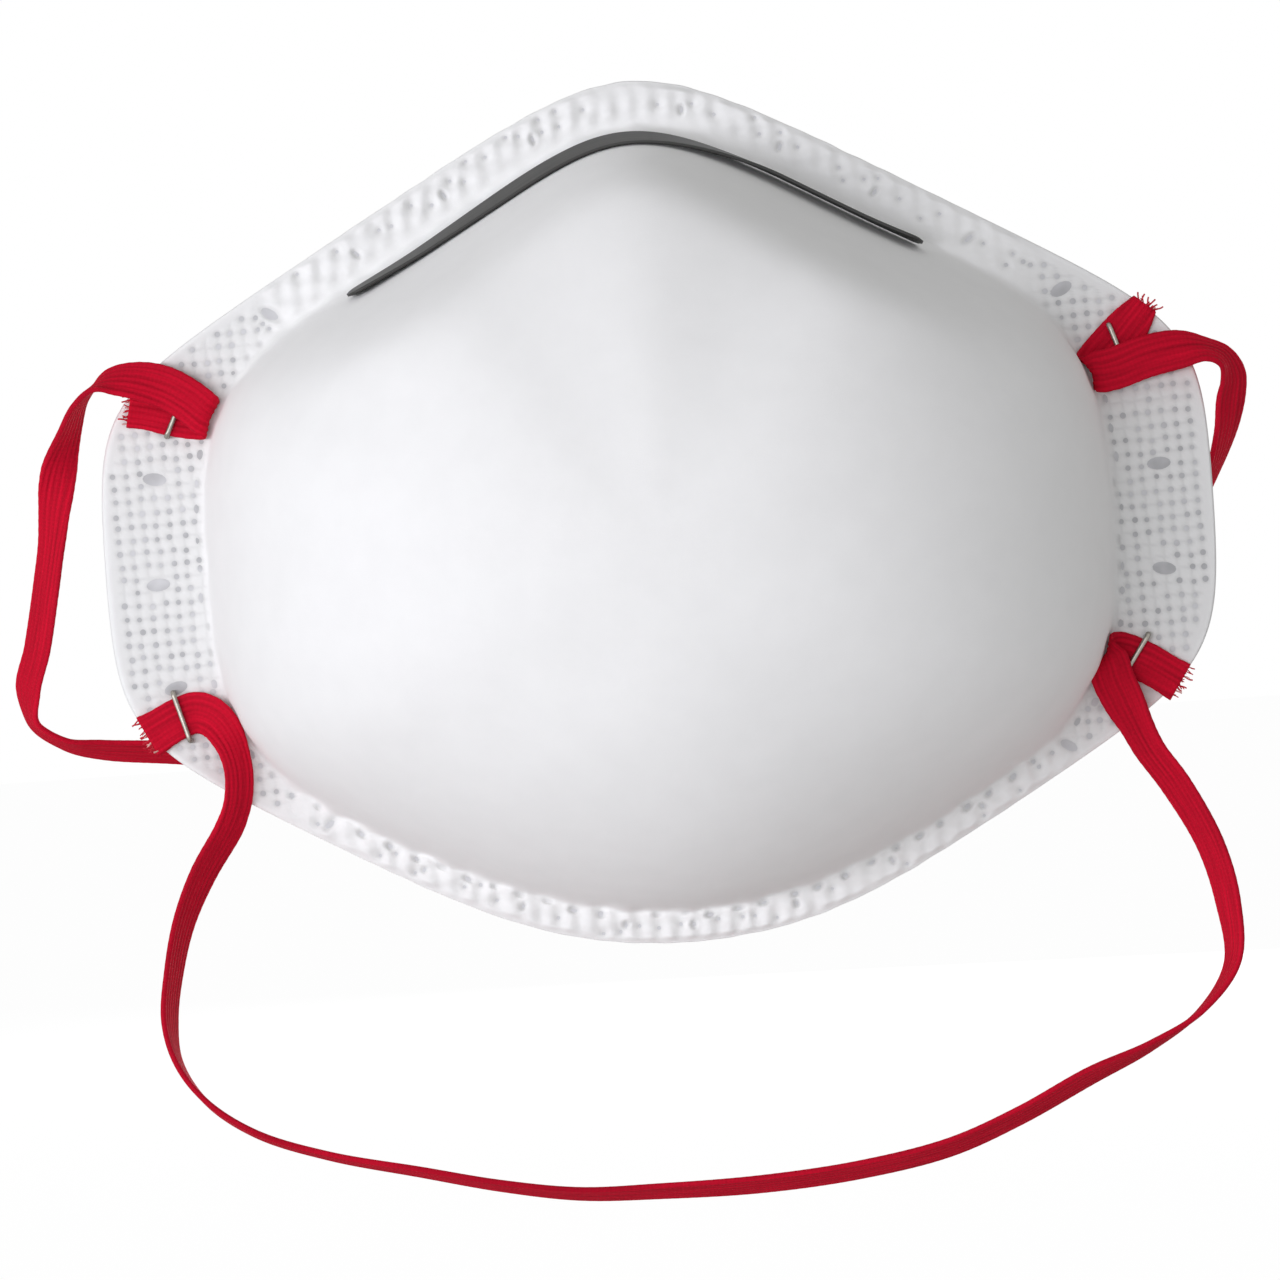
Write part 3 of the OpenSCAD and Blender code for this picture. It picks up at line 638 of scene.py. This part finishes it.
def bridge(outer, inner):
    """Faces between two closed rings of vertex numbers; one may have more points by a whole factor."""
    n, m = len(outer), len(inner)
    if n < m:
        return [face[::-1] for face in bridge(inner, outer)]
    if n == m:
        return [(outer[i], outer[(i + 1) % n], inner[(i + 1) % n], inner[i]) for i in range(n)]
    k = n // m
    faces = []
    for i in range(m):
        here, after, mid = inner[i], inner[(i + 1) % m], i * k + k // 2
        faces += [(outer[s], outer[s + 1], here) for s in range(i * k, mid)]
        faces.append((outer[mid], after, here))
        faces += [(outer[s], outer[(s + 1) % n], after) for s in range(mid, (i + 1) * k)]
    return faces


def make_piece(name, points, faces, material, smooth_faces=True):
    """Mesh object at the origin from points in mm."""
    mesh = bpy.data.meshes.new(name)
    mesh.from_pydata((np.asarray(points) * MM).tolist(), [], faces)
    mesh.update()
    mesh.polygons.foreach_set("use_smooth", [smooth_faces] * len(mesh.polygons))
    mesh.materials.append(material)
    piece = bpy.data.objects.new(name, mesh)
    bpy.context.scene.collection.objects.link(piece)
    return piece


def closed_layer(name, outside, inside, material, pressed=None):
    """Layer of the mask: rings from rim to front outside, then inside; the last ring of each is one point."""
    points = np.concatenate([r.reshape(-1, 3) for r in outside + inside])
    starts = np.cumsum([0] + [len(r.reshape(-1, 3)) for r in outside + inside])
    rings = [list(range(a, b)) for a, b in zip(starts, starts[1:])]
    outer, inner = rings[: len(outside)], rings[len(outside) :]
    faces = []
    for side, flip in ((outer, False), (inner, True)):
        found = []
        for a, b in zip(side, side[1:-1]):
            found += bridge(a, b)
        last, tip = side[-2], side[-1][0]
        found += [(last[i], last[(i + 1) % len(last)], tip) for i in range(len(last))]
        faces += [f[::-1] for f in found] if flip else found
    faces += bridge(inner[0], outer[0])
    piece = make_piece(name, points, faces, material)
    if pressed is not None:
        values = np.zeros(len(points), np.float32)
        values[: len(pressed)] = pressed
        piece.data.attributes.new("pressed", "FLOAT", "POINT").data.foreach_set("value", values)
    return piece


def plain_rings(face):
    """Rings of a plain layer face: rim, seam and cup, to one point at the front."""
    angle = np.linspace(0, math.tau, ROUND, endpoint=False)
    level = FACES[face][1]
    edge = rim(angle) - 0.1
    rings = [np.stack([edge * np.cos(angle), np.full_like(angle, -level), edge * np.sin(angle)], -1)]
    rings += [cup_face(face, angle, lift) for lift in np.linspace(0, 90, PLAIN_ROWS)[:-1]]
    return rings + [cup_face(face, np.zeros(1), 90.0)]


def soften(rows, first, last, passes):
    """Smooths some rows of points against the rows beside them."""
    for _ in range(passes):
        before, after = rows[first - 1 : last - 1], rows[first + 1 : last + 1]
        rows[first:last] = (before + 2 * rows[first:last] + after) / 4


def detailed_rings(face, welds, front):
    """Rings of an outer or inner face with its quilted flange, and how far each point is pressed."""
    angle = np.linspace(0, math.tau, ROUND * FINER, endpoint=False)
    level = FACES[face][1]
    edge, foot = rim(angle), seam(angle, FACES[face][0])
    edge = edge + 0.07 * (1 - smooth(np.abs(np.cos(angle)), 0.55, 0.85)) * ripple(
        edge * np.cos(angle), edge * np.sin(angle), (3.1, 4.3, 6.7), 5)
    # the seam wavers a little where the web gathers at the welds
    waver = (0.3 if front else 0) * ripple(foot * np.cos(angle), foot * np.sin(angle), (4.1, 5.3, 7.9), 6)
    share = np.linspace(0, 1, FLANGE_ROWS)[:, None]
    r = edge + (foot + waver - edge) * share
    x, z = r * np.cos(angle), r * np.sin(angle)
    height, pressed = flange_relief(x, z, welds)
    to_edge, to_foot = edge - r, r - foot
    # the whole flange is pressed a little, and turns greyer than the cup
    pressed = np.maximum(pressed, 0.04 + 0.24 * smooth(np.abs(x), 44, 56))
    pressed = pressed * smooth(to_edge, 0, 1.0) * smooth(to_foot, 0, 1.0)
    if not front:
        height = -np.minimum(height, 0.1)
    flange = np.stack([x, -(level + height), z], -1)
    lifts = np.linspace(0, FOOT_LIFT, FOOT_ROWS)[1:]
    wall = np.stack([cup_face(face, angle, lift) for lift in lifts])
    settle = (waver * (1 - lifts / lifts[-1])[:, None])[..., None]
    wall += settle * np.stack([np.cos(angle), np.zeros_like(angle), np.sin(angle)], -1)
    fine = np.concatenate([flange, wall])
    corner = len(flange) - 1
    soften(fine, corner - 3, corner + 4, 8 if front else 1)
    rounded = fine.copy()
    soften(rounded, corner - 9, corner + 5, 30 if front else 0)
    # the straps' folds lie against the seam at the cheeks, so there it stays sharper
    soft = (1 - smooth(np.abs(fine[corner, :, 0]), 50, 56))[:, None]
    fine = fine * (1 - soft) + rounded * soft
    coarse = np.linspace(0, math.tau, ROUND, endpoint=False)
    lifts = np.linspace(FOOT_LIFT, 90, FRONT_ROWS)[1:-1]
    rings = list(fine) + [cup_face(face, coarse, lift) for lift in lifts]
    rings.append(cup_face(face, np.zeros(1), 90.0))
    # the moulded web is not quite even over the front of the cup
    sag = 0.18 if front else 0.1
    for ring in rings[len(fine) :]:
        ring[:, 1] += sag * ripple(ring[:, 0], ring[:, 2], (17, 23, 31, 41), 8) * smooth(-ring[:, 1], 8, 16)
    return rings, pressed.ravel()


def spline(points, step):
    """Smooth centripetal curve through rows of numbers, whose first three are a place, sampled evenly."""
    rows = np.asarray(points, float)
    knots = np.concatenate([[0], np.cumsum(np.linalg.norm(np.diff(rows[:, :3], axis=0), axis=1) ** 0.5)])
    slopes = np.gradient(rows, knots, axis=0)
    out = []
    for i in range(len(rows) - 1):
        span = knots[i + 1] - knots[i]
        t = np.linspace(0, 1, 40, endpoint=False)[:, None]
        out.append(
            (2 * t**3 - 3 * t**2 + 1) * rows[i] + (t**3 - 2 * t**2 + t) * span * slopes[i]
            + (3 * t**2 - 2 * t**3) * rows[i + 1] + (t**3 - t**2) * span * slopes[i + 1])
    dense = np.concatenate(out + [rows[-1:]])
    run = np.concatenate([[0], np.cumsum(np.linalg.norm(np.diff(dense[:, :3], axis=0), axis=1))])
    even = np.linspace(0, run[-1], int(run[-1] / step) + 1)
    return np.stack([np.interp(even, run, column) for column in dense.T], -1), even


def unit(vectors):
    """Vectors of length one."""
    return vectors / np.linalg.norm(vectors, axis=-1, keepdims=True)


def tube_faces(rings, count):
    """Faces of a row of rings of so many points each, closed at both ends."""
    faces = [
        (k * count + j, k * count + (j + 1) % count, (k + 1) * count + (j + 1) % count, (k + 1) * count + j)
        for k in range(rings - 1) for j in range(count)
    ]
    faces.append(tuple(reversed(range(count))))
    faces.append(tuple((rings - 1) * count + j for j in range(count)))
    return faces


def sweep(name, middle, across, rise, profile, run, material):
    """Closed band: a profile of (across, rise) points in mm, which may differ from ring to ring."""
    rings, count = len(middle), profile.shape[-2]
    points = middle[:, None] + across[:, None] * profile[..., :1] + rise[:, None] * profile[..., 1:]
    piece = make_piece(name, points.reshape(-1, 3), tube_faces(rings, count), material)
    layer = piece.data.uv_layers.new(name="run")
    shape = np.broadcast_to(profile, (rings, count, 2))
    u, v = shape[..., 0].ravel(), np.repeat(run, count)
    corners = np.zeros(len(piece.data.loops), np.int64)
    piece.data.loops.foreach_get("vertex_index", corners)
    layer.data.foreach_set("uv", np.stack([u[corners], v[corners]], -1).ravel())
    for face in piece.data.polygons[-2:]:
        face.use_smooth = False
    return piece


def place_on(piece, body, slot, *nodes):
    """Lets a piece ride on a body and stand for its solids; the slot is not used."""
    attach(piece, body)
    if nodes:
        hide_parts(*nodes)
    return piece


class DUSTMASK_OT_stage(bpy.types.Operator):
    """Makes the floor, the white surround, the lamps and the camera"""

    bl_idname = "dustmask.stage"
    bl_label = "Stage"

    def execute(self, context):
        scene = context.scene
        scene.view_settings.view_transform = "Standard"
        half, level = 6000, -118
        corners = [(x * half, y * half, level) for x, y in ((-1, -1), (1, -1), (1, 1), (-1, 1))]
        floor = make_piece("floor", corners, [(0, 1, 2, 3)], painted_floor("Matt white floor paint"))
        world = bpy.data.worlds.new("White surround")
        scene.world = world
        world.use_nodes = True
        tree = world.node_tree
        tree.nodes.clear()
        seen = seen_directly(tree)
        # white to the camera, and dimmer as a light
        strength = add(tree, "ShaderNodeMix", {0: seen, 2: 0.435, 3: 1.0}).outputs[0]
        white = add(tree, "ShaderNodeBackground", {"Color": srgb("#FFFFFF") + (1,), "Strength": strength})
        add(tree, "ShaderNodeOutputWorld", {"Surface": white.outputs[0]})
        # one long low soft box on the left, as the shading on the cup shows, and one behind for the inside
        for name, place, wide, high, energy, tint in (
            ("soft box", (-0.66, -0.92, 0.01), 1.5, 0.2, 9.15, "#F8F8FF"),
            ("soft box behind", (0.4, 0.95, 0.0), 0.8, 0.2, 4.5, "#FFFFFF"),
        ):
            lamp = bpy.data.lights.new(name, "AREA")
            lamp.shape = "RECTANGLE"
            lamp.size, lamp.size_y = wide, high
            lamp.energy = energy
            lamp.color = srgb(tint)
            holder = bpy.data.objects.new(name, lamp)
            holder.location = place
            holder.rotation_euler = holder.location.to_track_quat("Z", "Y").to_euler()
            scene.collection.objects.link(holder)
        # the photograph looks straight at the front, with the mask turned 4 degrees in the picture
        camera = bpy.data.cameras.new("camera")
        camera.sensor_width = 36
        # 1280 pixels at 7.5 a millimetre, seen from 0.9 m
        distance, frame_width = 0.9, 1280 / 7.5 * MM
        centre_x, centre_z, roll = -3.56 * MM, -16.46 * MM, math.radians(-4)
        camera.lens = camera.sensor_width * distance / frame_width
        camera.clip_start = 0.05
        view = bpy.data.objects.new("camera", camera)
        view.matrix_world = (
            Matrix.Translation((centre_x, -distance, centre_z))
            @ Matrix.Rotation(math.radians(90), 4, "X") @ Matrix.Rotation(roll, 4, "Z"))
        scene.collection.objects.link(view)
        scene.camera = view
        return {"FINISHED"}


class DUSTMASK_OT_straps(bpy.types.Operator):
    """Makes the two ribbed elastic straps, from stapled end to stapled end"""

    bl_idname = "dustmask.straps"
    bl_label = "Straps"

    def execute(self, context):
        own = settings()
        width, thick, rib_height = 5.7, 0.8, 0.05
        material = woven_elastic("Woven elastic", own.strap_colour, own.ribs, width)
        # six points to a rib, and thinner edges
        u = np.linspace(-1, 1, own.ribs * 6 + 1)
        edge = np.sqrt(np.clip(1 - np.abs(u) ** 16, 0, 1))
        ribbing = rib_height * edge * np.cos(u * own.ribs * math.pi)
        half = (thick / 2 - rib_height) * (0.25 + 0.75 * edge) + ribbing
        flat = np.stack([u * width / 2, half], -1)
        profile = np.concatenate([flat, np.stack([u * width / 2, -half], -1)[::-1]])
        # each band has a start and an end, and a length in metres
        for name, route, start, end, length in (
            ("upper_strap", UPPER_ROUTE, (0, 0, 10.8), (0, 0, 0), 0.298),
            ("lower_strap", LOWER_ROUTE, (0, 0, -33), (0.09, 0, -38.6), 0.269),
        ):
            rows, run = spline([tuple(p) + tuple(w) + (share,) for p, w, share in route], 0.4)
            middle = rows[:, :3]
            along = unit(np.gradient(middle, axis=0))
            across = unit(rows[:, 3:6] - along * np.sum(rows[:, 3:6] * along, -1, keepdims=True))
            rise = np.cross(along, across)
            from_end = np.minimum(run, run[-1] - run)
            # the cut ends spread and swell, and the edges waver a little
            spread, waver = 0.08 * np.exp(-((from_end / 1.4) ** 2)), 0.008 * np.sin(run * math.tau / 1.3)
            flare = rows[:, 6] * (1 + spread + waver)
            swell = 1 + 0.25 * np.exp(-((from_end / 1.2) ** 2))
            shape = profile[None] * np.stack([flare, swell], -1)[:, None]
            piece = sweep(name, middle, across, rise, shape, run, material)
            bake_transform(piece)
            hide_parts(f"{name}_left_end", f"{name}_loop", f"{name}_right_end")
        return {"FINISHED"}


class DUSTMASK_OT_cover(bpy.types.Operator):
    """Makes the outer cover: the smooth cup and the quilted flange"""

    bl_idname = "dustmask.cover"
    bl_label = "Outer cover"

    def execute(self, context):
        outside, pressed = detailed_rings(0, weld_spots(), True)
        material = spunbonded_web("Spunbonded cover web", settings().cover_colour)
        piece = closed_layer("outer_cover_web", outside, plain_rings(1), material, pressed)
        place_on(piece, BODY, "cover_web", "outer_cover")
        return {"FINISHED"}


class DUSTMASK_OT_inner_layers(bpy.types.Operator):
    """Makes the filter web, the support shell and the inner lining"""

    bl_idname = "dustmask.inner_layers"
    bl_label = "Inner layers"

    def execute(self, context):
        material = melt_blown_web("Melt-blown web", srgb("#EDEFF2"))
        web = closed_layer("filter_web", plain_rings(1), plain_rings(2), material)
        place_on(web, BODY, "filter_web", "filter_layer")
        material = needled_felt("Needled felt", srgb("#E6E5E1"))
        shell = closed_layer("felt_shell", plain_rings(2), plain_rings(3), material)
        place_on(shell, BODY, "moulded_felt", "support_shell")
        inside, pressed = detailed_rings(4, weld_spots(), False)
        material = spunbonded_web("Spunbonded lining web", settings().lining_colour, 0.2)
        lining = closed_layer("inner_lining_web", inside, plain_rings(3), material, pressed)
        lining.data.flip_normals()
        place_on(lining, BODY, "lining_web", "inner_lining")
        return {"FINISHED"}


def repeat_tree(name, number, kind, slot, prefix, make_shape):
    """Geometry nodes: a shape on each point, stretched and turned by the point's own values. The shape
    takes one named number, and its material another named input."""
    tree = bpy.data.node_groups.new(name, "GeometryNodeTree")
    for label, socket in (("Geometry", "Geometry"), (number, kind), (slot, "Material")):
        tree.interface.new_socket(name=label, in_out="INPUT", socket_type=f"NodeSocket{socket}")
    tree.interface.new_socket(name="Geometry", in_out="OUTPUT", socket_type="NodeSocketGeometry")
    given = add(tree, "NodeGroupInput")
    own = {}
    for key in ("scale", "turn"):
        inputs = {"Name": f"{prefix}_{key}"}
        own[key] = add(tree, "GeometryNodeInputNamedAttribute", inputs, data_type="FLOAT_VECTOR").outputs[0]
    placed = add(tree, "GeometryNodeInstanceOnPoints", {
        "Points": given.outputs["Geometry"], "Instance": make_shape(tree, given.outputs[number]),
        "Rotation": own["turn"], "Scale": own["scale"]})
    real = add(tree, "GeometryNodeRealizeInstances", {0: placed.outputs[0]})
    inputs = {"Geometry": real.outputs[0], "Material": given.outputs[slot]}
    dressed = add(tree, "GeometryNodeSetMaterial", inputs)
    add(tree, "NodeGroupOutput", {0: dressed.outputs[0]})
    return tree


def film_disc(tree, points_round):
    """Thin flat disc."""
    inputs = {"Vertices": points_round, "Radius": 1.0}
    return add(tree, "GeometryNodeMeshCircle", inputs, fill_type="TRIANGLE_FAN").outputs[0]


def bent_thread(tree, thickness):
    """Short bent thread."""
    line = add(tree, "GeometryNodeCurvePrimitiveBezierSegment", {
        "Resolution": 6, "Start": (0, 0, 0), "Start Handle": (0.35, 0.05, 0),
        "End Handle": (0.6, 0.35, 0), "End": (0.95, 0.25, 0.1)})
    ring = add(tree, "GeometryNodeCurvePrimitiveCircle", {"Resolution": 5, "Radius": thickness})
    inputs = {"Curve": line.outputs[0], "Profile Curve": ring.outputs[0], "Fill Caps": True}
    return add(tree, "GeometryNodeCurveToMesh", inputs).outputs[0]


def run_tree(name, tree, points, attributes, inputs):
    """Runs a node tree on loose points in mm and keeps its result as a plain mesh object."""
    mesh = bpy.data.meshes.new(name + "_points")
    mesh.from_pydata((np.asarray(points) * MM).tolist(), [], [])
    for key, values in attributes.items():
        mesh.attributes.new(key, "FLOAT_VECTOR", "POINT").data.foreach_set(
            "vector", np.asarray(values, np.float32).ravel())
    source = bpy.data.objects.new(name + "_points", mesh)
    bpy.context.scene.collection.objects.link(source)
    modifier = source.modifiers.new(name, "NODES")
    modifier.node_group = tree
    for item in tree.interface.items_tree:
        if item.in_out == "INPUT" and item.name in inputs:
            modifier[item.identifier] = inputs[item.name]
    ready = source.evaluated_get(bpy.context.evaluated_depsgraph_get())
    result = bpy.data.meshes.new_from_object(ready)
    bpy.data.objects.remove(source)
    piece = bpy.data.objects.new(name, result)
    bpy.context.scene.collection.objects.link(piece)
    return piece


class DUSTMASK_OT_loose_yarns(bpy.types.Operator):
    """Makes the frayed yarns at the straps' four cut ends"""

    bl_idname = "dustmask.loose_yarns"
    bl_label = "Loose yarns"

    def execute(self, context):
        own = settings()
        draw = np.random.default_rng(23)
        half_width = 2.8
        tree = repeat_tree("Loose yarns", "Thickness", "Float", "Yarn", "thread", bent_thread)
        red = loose_yarn("Loose polyester yarn", own.strap_colour)
        pale = loose_yarn("Natural rubber thread", srgb("#D8A7A0"))
        for name, count, longest, thickness, material in (
            ("red_loose_yarns", own.fray, 1.5, 0.08, red),
            ("pale_rubber_threads", own.fray // 3, 1.0, 0.13, pale),
        ):
            points, turns, sizes = [], [], []
            for route in (UPPER_ROUTE, LOWER_ROUTE):
                for (end, width_way, share), (before, _, _) in (route[:2], route[:-3:-1]):
                    away = (Vector(end) - Vector(before)).normalized()
                    way = Vector(width_way)
                    way = (way - away * way.dot(away)).normalized()
                    level = way.cross(away)
                    for _ in range(count):
                        across = draw.uniform(-1, 1)
                        depth = draw.uniform(-0.3, 0.3)
                        back = draw.uniform(0, 0.5)
                        fan = draw.normal(0, 0.3) + 0.25 * across
                        lift = draw.normal(0, 0.2)
                        aim = away + way * fan + level * lift
                        spin = Matrix.Rotation(draw.uniform(0, math.tau), 3, "X")
                        turns.append((aim.to_track_quat("X", "Z").to_matrix() @ spin).to_euler())
                        root = Vector(end) - away * back + way * across * share * half_width
                        points.append(root + level * depth)
                        sizes.append([draw.uniform(0.4, 1) * longest * MM] * 3)
            piece = run_tree(name, tree, points, {"thread_scale": sizes, "thread_turn": turns},
                             {"Thickness": thickness, "Yarn": material})
            place_on(piece, BODY, "elastic")
        return {"FINISHED"}


class DUSTMASK_OT_weld_films(bpy.types.Operator):
    """Makes the fused film in each weld of the flange, on its front and its back"""

    bl_idname = "dustmask.weld_films"
    bl_label = "Weld films"

    def execute(self, context):
        welds = weld_spots()
        every = np.concatenate(welds)
        height, _ = flange_relief(every[:, 0], every[:, 1], welds)
        material = fused_film("Fused polypropylene film", settings().film_colour)
        tree = repeat_tree("Weld films", "Points round", "Int", "Film", "film", film_disc)
        for name, front in (("front_weld_films", True), ("back_weld_films", False)):
            # a little proud of the web it lies in
            level = -(FACES[0][1] + height + 0.1) if front else np.full(len(every), -0.11)
            points = np.stack([every[:, 0], level, every[:, 1]], -1)
            # each disc lies in the flange's plane, facing out, with its length turned in that plane
            tilt = np.full(len(every), math.pi / 2 if front else -math.pi / 2)
            spin = -every[:, 4]
            piece = run_tree(name, tree, points, {
                "film_scale": np.stack([every[:, 2], every[:, 3], np.ones(len(every))], -1) * MM,
                "film_turn": np.stack([tilt, spin, np.zeros(len(every))], -1),
            }, {"Points round": 14, "Film": material})
            place_on(piece, BODY, "cover_web" if front else "lining_web")
        return {"FINISHED"}


def wall_frame(face, angle):
    """Foot of the cup's wall, its direction away from the flange, and its direction outwards."""
    foot = cup_face(face, angle, 0.0)
    up = unit(cup_face(face, angle, 11.25) - foot)
    along = unit(cup_face(face, angle + 0.02, 0.0) - cup_face(face, angle - 0.02, 0.0))
    return foot, up, unit(np.cross(along, up))


class DUSTMASK_OT_nose_clip(bpy.types.Operator):
    """Makes the bendable nose clip"""

    bl_idname = "dustmask.nose_clip"
    bl_label = "Nose clip"

    def execute(self, context):
        width, thick, gap = 5.0, 0.55, 0.1
        height, drop, end_length = 6, 2, 1.6
        # reach of both wings round the cup, in degrees
        right, left = 48.5, 51
        angle = np.radians(np.linspace(90 - right, 90 + left, 161))
        foot, up, out = wall_frame(0, angle)
        # the right wing leans off the wall, and the left wing's upper edge stands off it a little
        aside = np.degrees(angle) - 90
        bent = smooth(-2 * aside / right, 0, 1)[:, None]
        lifted = np.radians(5) * (smooth(aside, -14, 8) * (1 - smooth(aside, 14, 44)))[:, None]
        lean = np.radians(14.5) * bent + np.radians(3) * smooth(aside, 20, 46)[:, None] - lifted
        across = up * np.cos(lean) + out * np.sin(lean)
        rise = out * np.cos(lean) - up * np.sin(lean)
        stand = gap + width * np.sin(lifted)
        middle = foot + up * (height - drop * bent) + out * stand + across * width / 2 + rise * thick / 2
        run = np.concatenate([[0], np.cumsum(np.linalg.norm(np.diff(middle, axis=0), axis=1))])
        turn = np.linspace(0, math.tau, 24, endpoint=False)
        box = np.stack([np.cos(turn), np.sin(turn)], -1)
        box = np.sign(box) * np.abs(box) ** 0.28 * (width / 2, thick / 2)
        from_end = np.minimum(run, run[-1] - run)
        close = np.sqrt(np.clip(1 - (1 - np.clip(from_end / end_length, 0, 1)) ** 2, 0.03, 1))
        shape = box[None] * np.stack([close, 0.6 + 0.4 * close], -1)[:, None]
        material = coated_strip("Coated strip", settings().clip_colour)
        piece = sweep("nose_clip_strip", middle, across, rise, shape, run, material)
        piece.data.flip_normals()
        place_on(piece, BODY, "clip_strip", "nose_clip")
        return {"FINISHED"}


class DUSTMASK_OT_nose_foam(bpy.types.Operator):
    """Makes the foam pad inside the nose"""

    bl_idname = "dustmask.nose_foam"
    bl_label = "Nose foam"

    def execute(self, context):
        thick, gap, reach_round, end_rows = 4.0, 0.2, 41.5, 7
        angle = np.radians(np.linspace(90 - reach_round, 90 + reach_round, 91))
        low, high, count = 3.4, 16.9, 13
        lifts = np.linspace(low, high, count)
        base = np.stack([cup_face(4, angle, lift) for lift in lifts], 1)
        _, _, out = wall_frame(4, angle)
        into = -out[:, None]
        share = np.linspace(-1, 1, count)
        crown = (1 - np.abs(share) ** 3) ** 0.5
        ends = np.minimum(np.arange(len(angle)), np.arange(len(angle))[::-1]) / end_rows
        taper = np.sqrt(np.clip(1 - (1 - np.clip(ends, 0, 1)) ** 2, 0.04, 1))
        sway = 1 + 0.06 * np.sin(np.linspace(0, 31, len(angle)))
        lift = gap + thick * (0.18 + 0.82 * crown)[None] * (taper * sway)[:, None]
        back = base + into * gap
        front = base + into * lift[..., None]
        rings = np.concatenate([back, front[:, ::-1]], 1)
        material = polyurethane_foam("Open-cell foam", settings().foam_colour)
        piece = make_piece("nose_foam_pad", rings.reshape(-1, 3), tube_faces(*rings.shape[:2]), material)
        place_on(piece, BODY, "foam", "nose_foam")
        return {"FINISHED"}


class DUSTMASK_OT_staples(bpy.types.Operator):
    """Gives the four staples their wire"""

    bl_idname = "dustmask.staples"
    bl_label = "Staples"

    def execute(self, context):
        wire = drawn_wire("Galvanised staple wire")
        for node in ("upper_left_staple", "upper_right_staple", "lower_left_staple", "lower_right_staple"):
            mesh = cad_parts[node].data
            mesh.materials.clear()
            mesh.materials.append(wire)
        return {"FINISHED"}


OPERATORS = (
    DUSTMASK_OT_stage, DUSTMASK_OT_straps, DUSTMASK_OT_cover, DUSTMASK_OT_inner_layers,
    DUSTMASK_OT_weld_films, DUSTMASK_OT_loose_yarns, DUSTMASK_OT_nose_clip, DUSTMASK_OT_nose_foam,
    DUSTMASK_OT_staples,
)


class DUSTMASK_PT_panel(bpy.types.Panel):
    """Lists the mask's settings and pieces"""

    bl_idname = "DUSTMASK_PT_panel"
    bl_label = "Dust mask"
    bl_space_type = "VIEW_3D"
    bl_region_type = "UI"
    bl_category = "Dust mask"

    def draw(self, context):
        for name in MaskSettings.__annotations__:
            self.layout.prop(context.scene.dust_mask, name)
        for operator in OPERATORS:
            self.layout.operator(operator.bl_idname)


CLASSES = (MaskSettings, *OPERATORS, DUSTMASK_PT_panel)


def register():
    for each in CLASSES:
        bpy.utils.register_class(each)
    bpy.types.Scene.dust_mask = bpy.props.PointerProperty(type=MaskSettings)


def unregister():
    del bpy.types.Scene.dust_mask
    for each in reversed(CLASSES):
        bpy.utils.unregister_class(each)


def main():
    """Builds the mask piece by piece."""
    register()
    bpy.ops.dustmask.stage()
    bpy.ops.dustmask.straps()
    bpy.ops.dustmask.cover()
    bpy.ops.dustmask.inner_layers()
    bpy.ops.dustmask.weld_films()
    bpy.ops.dustmask.loose_yarns()
    bpy.ops.dustmask.nose_clip()
    bpy.ops.dustmask.nose_foam()
    bpy.ops.dustmask.staples()


if __name__ == "__main__":
    main()
